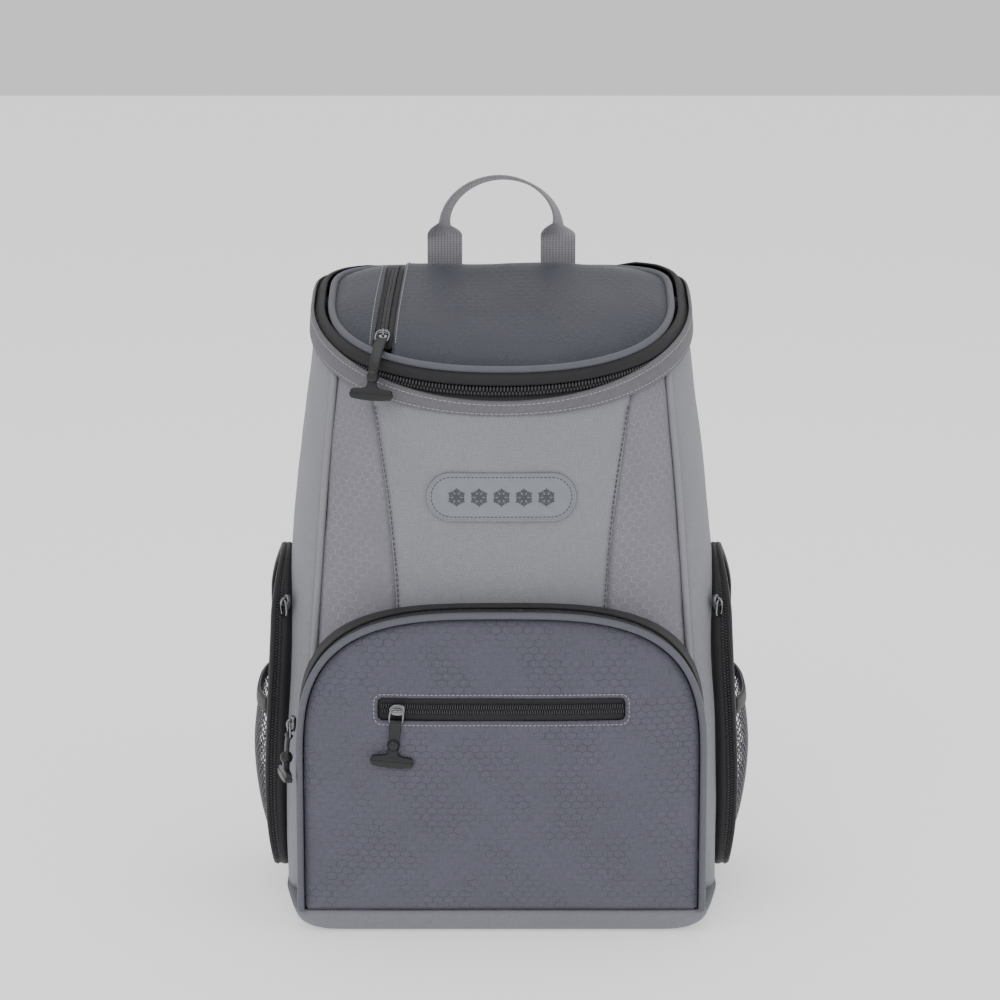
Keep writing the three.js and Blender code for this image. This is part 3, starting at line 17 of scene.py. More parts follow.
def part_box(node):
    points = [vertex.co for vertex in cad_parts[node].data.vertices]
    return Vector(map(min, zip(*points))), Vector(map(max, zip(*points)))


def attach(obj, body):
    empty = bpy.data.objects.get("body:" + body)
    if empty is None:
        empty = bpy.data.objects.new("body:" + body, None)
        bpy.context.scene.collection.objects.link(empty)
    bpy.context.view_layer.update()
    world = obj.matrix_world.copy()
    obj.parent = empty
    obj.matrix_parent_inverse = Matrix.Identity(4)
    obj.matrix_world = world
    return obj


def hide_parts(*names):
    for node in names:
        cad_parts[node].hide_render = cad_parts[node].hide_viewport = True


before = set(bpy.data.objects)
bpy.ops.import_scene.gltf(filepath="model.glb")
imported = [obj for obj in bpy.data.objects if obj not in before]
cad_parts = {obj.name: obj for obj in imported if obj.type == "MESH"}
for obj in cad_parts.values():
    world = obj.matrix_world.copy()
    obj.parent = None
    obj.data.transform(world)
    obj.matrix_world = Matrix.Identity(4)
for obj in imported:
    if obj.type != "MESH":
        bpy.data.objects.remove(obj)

LOG = logging.getLogger("backpack")
MM = 0.001
ROOT = "root"
Array = np.ndarray
Place = Callable[[Array, Array], Array]
Edge = Callable[[float], float]


# Shader maths


class Signal:
    """A number's socket in a material, which can be used in sums."""

    def __init__(self, paint: "Paint", socket: bpy.types.NodeSocket) -> None:
        """Keeps the paint and its socket."""
        self.paint = paint
        self.socket = socket

    def __add__(self, other: "Signal | float") -> "Signal":
        """Sum."""
        return self.paint.math("ADD", self, other)

    def __radd__(self, other: float) -> "Signal":
        """Sum, from the right."""
        return self.paint.math("ADD", other, self)

    def __sub__(self, other: "Signal | float") -> "Signal":
        """Difference."""
        return self.paint.math("SUBTRACT", self, other)

    def __rsub__(self, other: float) -> "Signal":
        """Difference, from the right."""
        return self.paint.math("SUBTRACT", other, self)

    def __mul__(self, other: "Signal | float") -> "Signal":
        """Product."""
        return self.paint.math("MULTIPLY", self, other)

    def __rmul__(self, other: float) -> "Signal":
        """Product, from the right."""
        return self.paint.math("MULTIPLY", other, self)

    def __truediv__(self, other: "Signal | float") -> "Signal":
        """Quotient."""
        return self.paint.math("DIVIDE", self, other)

    def __rtruediv__(self, other: float) -> "Signal":
        """Quotient, from the right."""
        return self.paint.math("DIVIDE", other, self)

    def __mod__(self, other: float) -> "Signal":
        """Remainder, which is never negative."""
        return self.paint.math("FLOORED_MODULO", self, other)

    def __abs__(self) -> "Signal":
        """Size without its sign."""
        return self.paint.math("ABSOLUTE", self)

    def wave(self) -> "Signal":
        """Sine."""
        return self.paint.math("SINE", self)

    def most(self, other: "Signal | float") -> "Signal":
        """The larger of two."""
        return self.paint.math("MAXIMUM", self, other)

    def under(self, other: "Signal | float") -> "Signal":
        """1 where this is less than the other, and 0 elsewhere."""
        return self.paint.math("LESS_THAN", self, other)

    def ramp(self, low: float, high: float) -> "Signal":
        """Smooth step from 0 at low to 1 at high."""
        settings = {"interpolation_type": "SMOOTHSTEP"}
        return self.paint.add("ShaderNodeMapRange", settings, {0: self, 1: low, 2: high, 3: 0.0, 4: 1.0})


class Paint:
    """A material's node tree round one Principled shader."""

    def __init__(self, name: str) -> None:
        """Starts an empty tree.

        Args:
            name: The material's name.
        """
        self.material = bpy.data.materials.new(name)
        self.material.use_nodes = True
        self.tree = self.material.node_tree
        self.tree.nodes.clear()
        self.shader = self.tree.nodes.new("ShaderNodeBsdfPrincipled")
        surface = self.tree.nodes.new("ShaderNodeOutputMaterial")
        self.tree.links.new(self.shader.outputs[0], surface.inputs["Surface"])

    def add(
        self, kind: str, settings: dict | None = None, inputs: dict | None = None, output: int = 0
    ) -> Signal:
        """Adds a node.

        Args:
            kind: The node's type.
            settings: Its own settings, which are set first.
            inputs: Values or signals by the number or name of their socket.
            output: The number of the socket that is given back.

        Returns:
            The signal of that socket.
        """
        node = self.tree.nodes.new(kind)
        for key, value in (settings or {}).items():
            setattr(node, key, value)
        for key, value in (inputs or {}).items():
            self.plug(node.inputs[key], value)
        return Signal(self, node.outputs[output])

    def plug(self, socket: bpy.types.NodeSocket, value: "Signal | float | Sequence[float]") -> None:
        """Links a signal to a socket, or sets the socket's value."""
        if isinstance(value, Signal):
            self.tree.links.new(value.socket, socket)
        else:
            socket.default_value = value

    def math(self, operation: str, first: "Signal | float", second: "Signal | float | None" = None) -> Signal:
        """Adds a Math node on one or two numbers."""
        inputs = {0: first} if second is None else {0: first, 1: second}
        return self.add("ShaderNodeMath", {"operation": operation}, inputs)

    def set(self, **values: "Signal | float | Sequence[float]") -> None:
        """Sets the shader's sockets, whose names are written with underscores."""
        for key, value in values.items():
            self.plug(self.shader.inputs[key.replace("_", " ").title().replace("Ior", "IOR")], value)

    def cloth_place(self) -> tuple[Signal, Signal, Signal]:
        """Place on the cloth as it was cut.

        Returns:
            The place as a vector, and its two coordinates, in millimetres.
        """
        uv = self.add("ShaderNodeUVMap", {"uv_map": "cloth"})
        place = self.add("ShaderNodeVectorMath", {"operation": "SCALE"}, {0: uv, 3: 1 / MM})
        split = self.add("ShaderNodeSeparateXYZ", inputs={0: place})
        return place, split, Signal(self, split.socket.node.outputs[1])

    def solid_place(self, scale: float) -> Signal:
        """Place in the piece itself, in millimetres over the scale."""
        at = self.add("ShaderNodeTexCoord", output=3)
        return self.add("ShaderNodeVectorMath", {"operation": "SCALE"}, {0: at, 3: 1 / (MM * scale)})

    def stretched(self, place: Signal, across: float, along: float) -> Signal:
        """A place with each of its coordinates over its own size."""
        sizes = (1 / across, 1 / along, 1.0)
        return self.add("ShaderNodeVectorMath", {"operation": "MULTIPLY"}, {0: place, 1: sizes})

    def cloud(self, place: Signal, detail: float = 2.0) -> Signal:
        """Soft noise from 0 to 1."""
        inputs = {"Vector": place, "Scale": 1.0, "Detail": detail}
        return self.add("ShaderNodeTexNoise", {"noise_dimensions": "3D"}, inputs)

    def blend(self, mask: Signal, low: Sequence[float], high: Sequence[float]) -> Signal:
        """Colour that goes from low where the mask is 0 to high where it is 1."""
        return self.add("ShaderNodeMix", {"data_type": "RGBA"}, {0: mask, 6: low, 7: high}, 2)

    def relief(self, height: Signal, depth: float) -> Signal:
        """Normal of a relief whose depth is in millimetres."""
        return self.add("ShaderNodeBump", None, {"Height": height, "Distance": depth * MM, "Strength": 1.0})


def tint(colour: Sequence[int], light: float = 1.0) -> tuple[float, float, float, float]:
    """Linear colour of an 8-bit one, made lighter or darker.

    Args:
        colour: Red, green and blue from 0 to 255.
        light: What the linear colour is multiplied by.

    Returns:
        The linear colour with an alpha of 1.
    """
    linear = [(c / 255 / 12.92) if c < 11 else ((c / 255 + 0.055) / 1.055) ** 2.4 for c in colour]
    return tuple(min(c * light, 1.0) for c in linear) + (1.0,)


# Finishes


class Weave(Enum):
    """How a cloth is woven."""

    PLAIN = "plain"
    HONEYCOMB = "honeycomb"
    RIBBED = "ribbed"
    TWILL = "twill"


@dataclass(frozen=True)
class Cloth:
    """A woven cloth.

    Attributes:
        name: The material's name.
        colour: Its 8-bit colour.
        weave: How it is woven.
        pitch: Distance between its threads in millimetres.
        relief: Depth of the weave in millimetres.
        roughness: Roughness of the threads.
        sheen: Weight of the soft sheen of the fibres.
        lines: How much lighter the lines of a pattern are, or darker if negative.
        mottle: How much the colour varies from place to place.
        thread_shade: Painted shade in the weave: how much lighter the high threads are painted than the low
            ones, which are painted darker as if they lay in shade.
        cell: Width of a cell of the honeycomb in millimetres.
        squat: Height of a cell of the honeycomb, as a share of a regular one's.
        THREAD_WIDTH: Width of the streaks of single threads in millimetres.
        THREAD_LENGTH: Length of those streaks.
        PATCH: Size of the patches of lighter and darker cloth.
        FADE: Size of the patches in which the honeycomb fades.
        PICK: Distance between the cross threads of a ribbed weave.
    """

    name: str
    colour: tuple[int, int, int]
    weave: Weave = Weave.PLAIN
    pitch: float = 0.9
    relief: float = 0.12
    roughness: float = 0.8
    sheen: float = 0.1
    lines: float = 0.0
    mottle: float = 0.05
    thread_shade: float = 0.22
    cell: float = 7.0
    squat: float = 1.0

    THREAD_WIDTH: ClassVar[float] = 0.7
    THREAD_LENGTH: ClassVar[float] = 7.0
    PATCH: ClassVar[float] = 55.0
    FADE: ClassVar[float] = 34.0
    PICK: ClassVar[float] = 0.9

    @cache
    def material(self) -> bpy.types.Material:
        """Makes the material once."""
        paint = Paint(self.name)
        place, across, along = paint.cloth_place()
        height, line = self.pattern(paint, place, across, along)
        thin, long, patch = self.THREAD_WIDTH, self.THREAD_LENGTH, self.PATCH
        upright = paint.cloud(paint.stretched(place, thin, long))
        threads = upright + paint.cloud(paint.stretched(place, long, thin))
        wide = paint.cloud(paint.stretched(place, patch, patch), 3.0)
        shade = (threads - 1.0) * (5 * self.mottle) + (wide - 0.5) * (2 * self.mottle)
        # Painted shade: by the weave's height, the low threads are painted darker and the high ones lighter,
        # as if the low ones lay in shade; the mottle and the pattern's lines above and here are the cloth's
        # own tone.
        shade = shade + (height - 0.5) * self.thread_shade + line * self.lines
        colour = paint.blend((shade + 0.5).ramp(0.0, 1.0), tint(self.colour, 0.55), tint(self.colour, 1.5))
        rough = self.roughness + (threads - 1.0) * 0.12 - line * 0.08
        grain = height + threads * 0.35 + line * 1.6
        paint.set(base_color=colour, roughness=rough, normal=paint.relief(grain, self.relief))
        paint.set(sheen_weight=self.sheen, sheen_roughness=0.45, specular_ior_level=0.35)
        return paint.material

    def pattern(self, paint: Paint, place: Signal, across: Signal, along: Signal) -> tuple[Signal, Signal]:
        """The weave's relief and the lines of its pattern, both from 0 to 1."""
        turn = math.pi / self.pitch
        if self.weave is Weave.RIBBED:
            rib = abs((across * turn).wave())
            pick = (along * (math.pi / self.PICK)).wave() * 0.2
            return rib * 0.7 + pick + 0.2, rib * 0.0
        if self.weave is Weave.TWILL:
            slant = abs(((across + along) * turn).wave()) * 0.7 + abs(((across - along) * turn).wave()) * 0.3
            return slant, slant * 0.0
        plain = (across * turn).wave() * (along * turn).wave() * 0.5 + 0.5
        if self.weave is Weave.PLAIN:
            return plain, plain * 0.0
        fade = paint.cloud(paint.stretched(place, self.FADE, self.FADE)).ramp(0.36, 0.6) * 0.85 + 0.15
        return plain * 0.7 + 0.15, honeycomb(across, along / self.squat, self.cell) * fade


def honeycomb(across: Signal, along: Signal, size: float) -> Signal:
    """Lines of a honeycomb.

    Args:
        across: Coordinate across, in millimetres.
        along: Coordinate along, in millimetres.
        size: Width of a cell in millimetres.

    Returns:
        1 on the lines and 0 in the cells.
    """
    x, y = across / size, along / size
    step = math.sqrt(3)
    near = (x % 1.0 - 0.5, y % step - step / 2)
    far = ((x - 0.5) % 1.0 - 0.5, (y - step / 2) % step - step / 2)
    edges = [abs(u).most(abs(u) * 0.5 + abs(v) * (step / 2)) for u, v in (near, far)]
    squares = [u * u + v * v for u, v in (near, far)]
    first = squares[0].under(squares[1])
    reach = edges[0] * first + edges[1] * (1.0 - first)
    return reach.ramp(0.43, 0.485)


@dataclass(frozen=True)
class Hard:
    """Metal, rubber, plastic or thread: one colour, with a grain that follows the piece.

    Attributes:
        name: The material's name.
        colour: Its 8-bit colour.
        roughness: How rough it is.
        metallic: 1 for metal.
        grain: Depth of the grain in millimetres.
        size: Size of the grain in millimetres.
        wear: How much the colour varies.
        coat: Weight of a clear coat.
    """

    name: str
    colour: tuple[int, int, int]
    roughness: float
    metallic: float = 0.0
    grain: float = 0.05
    size: float = 1.2
    wear: float = 0.12
    coat: float = 0.0

    @cache
    def material(self) -> bpy.types.Material:
        """Makes the material once."""
        paint = Paint(self.name)
        fine = paint.cloud(paint.solid_place(self.size), 3.0)
        wide = paint.cloud(paint.solid_place(self.size * 9), 3.0)
        shade = 0.5 + (wide - 0.5) * (2 * self.wear) + (fine - 0.5) * self.wear
        colour = paint.blend(shade.ramp(0.0, 1.0), tint(self.colour, 0.6), tint(self.colour, 1.4))
        paint.set(base_color=colour, roughness=self.roughness + (wide - 0.5) * 0.15)
        paint.set(normal=paint.relief(fine, self.grain), metallic=self.metallic, coat_weight=self.coat)
        return paint.material


GREY = Cloth("grey_cloth", (132, 133, 139), pitch=0.95, relief=0.16, thread_shade=0.4)
PATTERNED = Cloth(
    "patterned_cloth", (122, 119, 128), Weave.HONEYCOMB, 0.8, 0.14, 0.7,
    lines=0.4, mottle=0.06, cell=8.4, squat=0.66,
)
POCKET = Cloth(
    "pocket_cloth", (82, 82, 94), Weave.HONEYCOMB, 0.8, 0.14, 0.55,
    lines=-0.15, mottle=0.09, cell=7.2, squat=0.7,
)
LID = Cloth("lid_cloth", (42, 45, 57), Weave.HONEYCOMB, 0.8, 0.12, 0.4, sheen=0.16, lines=0.09, mottle=0.08)
PIPED = Cloth("piping_cloth", (132, 132, 138), Weave.TWILL, 0.7, 0.08, 0.6)
DARK_PIPED = Cloth("dark_piping_cloth", (88, 89, 98), Weave.TWILL, 0.7, 0.08, 0.5)
BINDING = Cloth("binding_cloth", (100, 99, 104), Weave.TWILL, 1.7, 0.3, 0.8, mottle=0.1, thread_shade=0.6)
BASE = Cloth("base_cloth", (116, 118, 124), pitch=0.95, relief=0.1, roughness=0.75)
WEBBING = Cloth("webbing_cloth", (125, 124, 129), Weave.RIBBED, 2.2, 0.3, 0.75, thread_shade=0.45)
TAPE = Cloth("tape_cloth", (28, 27, 30), Weave.TWILL, 0.8, 0.12, 0.55)
STRAP_CLOTH = Cloth("strap_cloth", (120, 121, 127), pitch=1.2, relief=0.15)
NET = Cloth("net_cloth", (104, 104, 108), Weave.TWILL, 0.6, 0.05, 0.8)
TEETH = Hard("moulded_teeth", (46, 45, 49), 0.26, grain=0.02, size=0.6)
THREAD = Hard("grey_thread", (150, 150, 155), 0.7, grain=0.08, size=0.4)
DARK_THREAD = Hard("dark_thread", (70, 70, 76), 0.7, grain=0.08, size=0.4)
METAL = Hard("polished_metal", (128, 129, 131), 0.2, metallic=1.0, grain=0.02, size=0.8)
RUBBER = Hard("moulded_rubber", (17, 18, 20), 0.45, grain=0.04, size=0.7)
BADGE_RUBBER = Hard("patch_rubber", (126, 129, 136), 0.5, grain=0.03, size=0.9)
MARK_RUBBER = Hard("mark_rubber", (74, 76, 81), 0.45, grain=0.03, size=0.7)
PLASTIC = Hard("moulded_plastic", (36, 36, 38), 0.35, grain=0.03, size=0.8)


# Curves and outlines


def table_curve(heights: Sequence[float], values: Sequence[float]) -> Callable[[Array], Array]:
    """Smooth curve through a table.

    Args:
        heights: Shares of the height, rising.
        values: The value at each.

    Returns:
        A function that reads the value at any share.
    """
    at, value = np.array(heights, float), np.array(values, float)
    last = len(at) - 1
    before, after = np.maximum(np.arange(last + 1) - 1, 0), np.minimum(np.arange(last + 1) + 1, last)
    slope = (value[after] - value[before]) / (at[after] - at[before])

    def read(share: Array) -> Array:
        """Value at a share."""
        s = np.clip(share, at[0], at[-1])
        k = np.clip(np.searchsorted(at, s, side="right") - 1, 0, last - 1)
        step = at[k + 1] - at[k]
        t = (s - at[k]) / step
        u = 1 - t
        ends = value[k] * (1 + 2 * t) * u * u + value[k + 1] * (3 - 2 * t) * t * t
        return ends + step * (slope[k] * t * u * u - slope[k + 1] * t * t * u)

    return read


class Arc:
    """Quarter of a superellipse, from the middle of a face to its widest place, read by its length."""

    STEPS = 300

    def __init__(self, half: float, reach: float, power: float) -> None:
        """Lays out the quarter's points."""
        turn = np.linspace(0, math.pi / 2, self.STEPS + 1)
        self.x = half * np.sin(turn) ** (2 / power)
        self.y = reach * np.cos(turn) ** (2 / power)
        self.y[-1] = 0
        steps = np.hypot(np.diff(self.x), np.diff(self.y))
        self.lengths = np.concatenate([[0], np.cumsum(steps)])
        self.length = float(self.lengths[-1])

    def at(self, share: Array) -> tuple[Array, Array]:
        """How far across and along the curve is at a share of its length."""
        target = np.clip(share, 0, 1) * self.length
        return np.interp(target, self.lengths, self.x), np.interp(target, self.lengths, self.y)

    def share_across(self, across: float) -> float:
        """Share of the length at which the curve is this far across."""
        return float(np.interp(across, self.x, self.lengths)) / self.length


class Oval:
    """Closed outline of four quarters. Round 0 is its fore middle, 1 its widest place, 2 its aft middle."""

    SPAN = 0.02

    def __init__(self, half: float, fore: float, fore_power: float, aft: float, aft_power: float) -> None:
        """Keeps the sizes and lays out the two kinds of quarter."""
        self.half = half
        self.fore, self.fore_power = fore, fore_power
        self.aft, self.aft_power = aft, aft_power
        self.fore_arc = Arc(half, fore, fore_power)
        self.aft_arc = Arc(half, aft, aft_power)

    def at(self, rounds: Array) -> Array:
        """Points of the outline: across, and along towards the fore side."""
        turned = np.asarray(rounds, float)
        turned = np.where(np.abs(turned) > 2, turned - 4 * np.sign(turned), turned)
        way = np.abs(turned)
        fore_x, fore_y = self.fore_arc.at(way)
        aft_x, aft_y = self.aft_arc.at(2 - way)
        fore = way <= 1
        side = np.where(turned < 0, -1.0, 1.0)
        return np.stack([side * np.where(fore, fore_x, aft_x), np.where(fore, fore_y, -aft_y)], -1)

    def out(self, rounds: Array, distance: "Array | float") -> Array:
        """Points that stand out from the outline by a distance."""
        rounds = np.asarray(rounds, float)
        ahead = self.at(rounds + self.SPAN) - self.at(rounds - self.SPAN)
        ahead /= np.linalg.norm(ahead, axis=-1, keepdims=True)
        outward = np.stack([-ahead[..., 1], ahead[..., 0]], -1)
        return self.at(rounds) + outward * np.asarray(distance, float)[..., None]

    def half_at(self, along: Array) -> Array:
        """Half of the width at a distance along."""
        along = np.asarray(along, float)
        reach = np.where(along > 0, self.fore, self.aft)
        power = np.where(along > 0, self.fore_power, self.aft_power)
        return self.half * np.maximum(1 - np.abs(along / reach) ** power, 0) ** (1 / power)

    def share(self, across: Array, along: Array) -> Array:
        """Size of the outline through a point, as a share of this one."""
        reach = np.where(along > 0, self.fore, self.aft)
        power = np.where(along > 0, self.fore_power, self.aft_power)
        return (np.abs(across / self.half) ** power + np.abs(along / reach) ** power) ** (1 / power)

    def round_along(self, along: float) -> float:
        """Place at a distance along."""
        rounds = np.linspace(0, 2, 2001)
        return float(rounds[np.argmin(np.abs(self.at(rounds)[:, 1] - along))])


def stadium(length: float, height: float, inset: float = 0.0, count: int = 96) -> Array:
    """Outline of a bar with round ends.

    Args:
        length: Its whole length.
        height: Its height, which is the diameter of its ends.
        inset: How far inside that outline this one runs.
        count: Number of points.

    Returns:
        The points, anticlockwise.
    """
    radius = height / 2 - inset
    straight = length - height
    around = 2 * straight + 2 * math.pi * radius
    points = []
    for s in np.arange(count) / count * around:
        end, rest = divmod(s, around / 2)
        if rest < straight:
            point = (straight / 2 - rest, radius)
        else:
            turn = math.pi / 2 + (rest - straight) / radius
            point = (-straight / 2 + radius * math.cos(turn), radius * math.sin(turn))
        points.append(point if end == 0 else (-point[0], -point[1]))
    return np.array(points)


def all_round(count: int) -> Array:
    """Places all the way round an outline of four quarters."""
    return np.linspace(-2, 2, count, endpoint=False)


def rounded_box(length: float, height: float, radius: float, step: float = 2.0) -> Array:
    """Outline of a rounded rectangle, anticlockwise, with points about a step apart."""
    points = []
    for k in range(4):
        sx, sy = (1, 1, -1, -1)[k], (1, -1, -1, 1)[k]
        middle = np.array([sx * (length / 2 - radius), sy * (height / 2 - radius)])
        start = math.pi / 2 - k * math.pi / 2
        for t in np.linspace(0, 1, 5):
            turn = start - t * math.pi / 2
            points.append(middle + radius * np.array([math.cos(turn), math.sin(turn)]))
    return evened(np.array(points)[::-1], step, closed=True)


def evened(points: Array, step: float, closed: bool = False) -> Array:
    """A line's points, spaced evenly about a step apart, with its ends kept where it is open."""
    line = np.vstack([points, points[:1]]) if closed else np.asarray(points)
    lengths = run_lengths(line)
    count = max(int(round(lengths[-1] / step)), 3 if closed else 1)
    at = np.linspace(0, lengths[-1], count + 1)
    spaced = np.stack([np.interp(at, lengths, line[:, k]) for k in range(line.shape[1])], -1)
    return spaced[:-1] if closed else spaced


# Meshes


TINY = 1e-9


def unit(vectors: Array) -> Array:
    """Vectors of length 1."""
    return vectors / np.maximum(np.linalg.norm(vectors, axis=-1, keepdims=True), TINY)


def run_lengths(line: Array) -> Array:
    """Length of a line of points up to each of them."""
    return np.concatenate([[0], np.cumsum(np.linalg.norm(np.diff(line, axis=0), axis=1))])


def ahead_of(points: Array, closed: bool) -> Array:
    """Direction along a line at each of its points, not of length 1."""
    return np.roll(points, -1, 0) - np.roll(points, 1, 0) if closed else np.gradient(points, axis=0)


def rounded_section(
    sides: int, half: float, thick: float, across: float, over: float
) -> list[tuple[float, float]]:
    """Section of a band with rounded edges.

    Args:
        sides: Number of its points.
        half: Half of its width.
        thick: Half of its thickness.
        across: Exponent of the points' places across it. Less than 1 is squarer than an ellipse.
        over: Exponent of their places over it.

    Returns:
        The places of its points, across it and over it.
    """
    section = []
    for k in range(sides):
        c, s = math.cos(2 * math.pi * k / sides), math.sin(2 * math.pi * k / sides)
        section.append((half * math.copysign(abs(c) ** across, c), thick * math.copysign(abs(s) ** over, s)))
    return section


def new_piece(
    name: str, points: Array, faces: Sequence[Sequence[int]], uvs: Array | None = None
) -> bpy.types.Object:
    """Makes a smooth piece.

    Args:
        name: The piece's name.
        points: Its points in millimetres.
        faces: Its faces, as numbers of points.
        uvs: A place on the cloth in millimetres for each corner of each face, in order.

    Returns:
        The piece.
    """
    mesh = bpy.data.meshes.new(name)
    mesh.from_pydata((np.asarray(points, float) * MM).tolist(), [], [list(map(int, face)) for face in faces])
    if uvs is not None:
        layer = mesh.uv_layers.new(name="cloth")
        layer.data.foreach_set("uv", (np.asarray(uvs, float) * MM).ravel())
    mesh.validate()
    mesh.shade_smooth()
    piece = bpy.data.objects.new(name, mesh)
    bpy.context.collection.objects.link(piece)
    return piece


def thicken(piece: bpy.types.Object, thickness: float) -> bpy.types.Object:
    """Gives a sheet a thickness in millimetres, behind its face."""
    modifier = piece.modifiers.new("Thickness", "SOLIDIFY")
    modifier.thickness = thickness * MM
    modifier.offset = -1
    return piece


def grid_normals(grid: Array, ring: bool = False) -> Array:
    """Outward direction at each point of a grid whose columns and rows turn that way."""
    if ring:
        wide = np.concatenate([grid[:, -1:], grid, grid[:, :1]], 1)
        across = (wide[:, 2:] - wide[:, :-2]) / 2
    else:
        across = np.gradient(grid, axis=1)
    return unit(np.cross(across, np.gradient(grid, axis=0)))


def grid_sheet(name: str, grid: Array, thickness: float, ring: bool = False) -> bpy.types.Object:
    """Makes a sheet from a grid of points.

    Args:
        name: The piece's name.
        grid: Rows of points in millimetres. On a ring, the last column joins the first.
        thickness: Thickness in millimetres, behind the face.
        ring: Whether it is a ring.

    Returns:
        The sheet, with a place on the cloth at each corner, from the mean length of its rows and columns.
    """
    rows, columns = grid.shape[:2]
    wide = np.concatenate([grid, grid[:, :1]], 1) if ring else grid
    u = np.concatenate([[0], np.cumsum(np.linalg.norm(np.diff(wide, axis=1), axis=2).mean(axis=0))])
    v = np.concatenate([[0], np.cumsum(np.linalg.norm(np.diff(wide, axis=0), axis=2).mean(axis=1))])
    faces, uvs = [], []
    for j in range(rows - 1):
        for i in range(wide.shape[1] - 1):
            k = (i + 1) % columns
            faces.append((j * columns + i, j * columns + k, (j + 1) * columns + k, (j + 1) * columns + i))
            uvs += [(u[i], v[j]), (u[i + 1], v[j]), (u[i + 1], v[j + 1]), (u[i], v[j + 1])]
    return thicken(new_piece(name, grid.reshape(-1, 3), faces, np.array(uvs)), thickness)


def inside(points: Array, outline: Array) -> Array:
    """Whether each point lies inside an outline."""
    found = np.zeros(len(points), bool)
    for a, b in zip(outline, np.roll(outline, -1, axis=0), strict=True):
        crosses = (a[1] > points[:, 1]) != (b[1] > points[:, 1])
        at = a[0] + (points[:, 1] - a[1]) * (b[0] - a[0]) / (b[1] - a[1] if b[1] != a[1] else TINY)
        found ^= crosses & (points[:, 0] < at)
    return found


def distance_to(points: Array, loop: Array) -> Array:
    """Distance of each point from a closed line of points."""
    best = np.full(len(points), np.inf)
    for a, b in zip(loop, np.roll(loop, -1, axis=0), strict=True):
        along = b - a
        t = np.clip(((points - a) @ along) / max(float(along @ along), TINY), 0, 1)
        best = np.minimum(best, np.linalg.norm(points - a - t[:, None] * along, axis=1))
    return best


CUT_STEP = 3.2  # distance between the points of a cut edge
EDGE_ROWS = (0.8, 2.0, 3.6)  # distances from a cut edge at which a sheet has rows of points
EDGE_CLEAR = 0.6  # least distance of any other point from a cut edge
TAPE_THICK = 0.8


def within(points: Array, outline: Array, holes: Sequence[Array]) -> Array:
    """Whether each point lies inside an outline and outside its holes."""
    keep = inside(points, outline)
    for hole in holes:
        keep &= ~inside(points, hole)
    return keep


def seed_points(outline: Array, spacing: float) -> Array:
    """Points of a triangular pattern over the box round an outline."""
    low, high = outline.min(0), outline.max(0)
    rows = []
    for k, height in enumerate(np.arange(low[1], high[1], spacing * math.sqrt(3) / 2)):
        across = np.arange(low[0] + (k % 2) * spacing / 2, high[0], spacing)
        rows.append(np.stack([across, np.full_like(across, height)], -1))
    return np.concatenate(rows)


def edge_points(loops: Sequence[Array]) -> Array:
    """Points in rows beside each cut edge, on both of its sides."""
    near = []
    for loop in loops:
        along = np.roll(loop, -1, 0) - np.roll(loop, 1, 0)
        away = unit(np.stack([-along[:, 1], along[:, 0]], -1))
        near += [loop + away * reach * way for reach in EDGE_ROWS for way in (-1, 1)]
    return np.concatenate(near)


def cut_sheet(
    name: str,
    outline: Array,
    holes: Sequence[Array],
    place: Place,
    spacing: float,
    thickness: float,
    turned: bool = False,
) -> bpy.types.Object:
    """Makes a sheet of any cut, with holes, laid on a surface.

    Args:
        name: The piece's name.
        outline: Points of the cut, about as far apart as the sheet's edge needs.
        holes: Outlines of its holes.
        place: Gives the points of the surface at the two coordinates of the cut.
        spacing: Distance between points inside.
        thickness: Thickness in millimetres, behind the face.
        turned: Whether the faces are turned over.

    Returns:
        The sheet.
    """
    loops = [outline, *holes]
    near, seeds = edge_points(loops), seed_points(outline, spacing)
    clear = np.min([distance_to(near, loop) for loop in loops], axis=0)
    near = near[within(near, outline, holes) & (clear > EDGE_CLEAR)]
    clear = np.min([distance_to(seeds, loop) for loop in loops], axis=0)
    seeds = seeds[within(seeds, outline, holes) & (clear > EDGE_ROWS[-1] + spacing * 0.5)]
    points = np.concatenate([*loops, near, seeds])
    links, start = [], 0
    for loop in loops:
        links += [(start + i, start + (i + 1) % len(loop)) for i in range(len(loop))]
        start += len(loop)
    found = delaunay_2d_cdt([Vector(p) for p in points], links, [], 0, 1e-6)
    flat = np.array([tuple(p) for p in found[0]])
    faces = np.array([face for face in found[2] if len(face) == 3])
    faces = faces[within(flat[faces].mean(1), outline, holes)]
    a, b, c = flat[faces[:, 0]], flat[faces[:, 1]], flat[faces[:, 2]]
    over = (b[:, 0] - a[:, 0]) * (c[:, 1] - a[:, 1]) - (b[:, 1] - a[:, 1]) * (c[:, 0] - a[:, 0]) < 0
    faces[over] = faces[over][:, ::-1]
    if turned:
        faces = faces[:, ::-1]
    used = np.unique(faces)
    number = np.full(len(flat), -1)
    number[used] = np.arange(len(used))
    flat, faces = flat[used], number[faces]
    piece = new_piece(name, place(flat[:, 0], flat[:, 1]), faces, flat[faces].reshape(-1, 2))
    return thicken(piece, thickness)


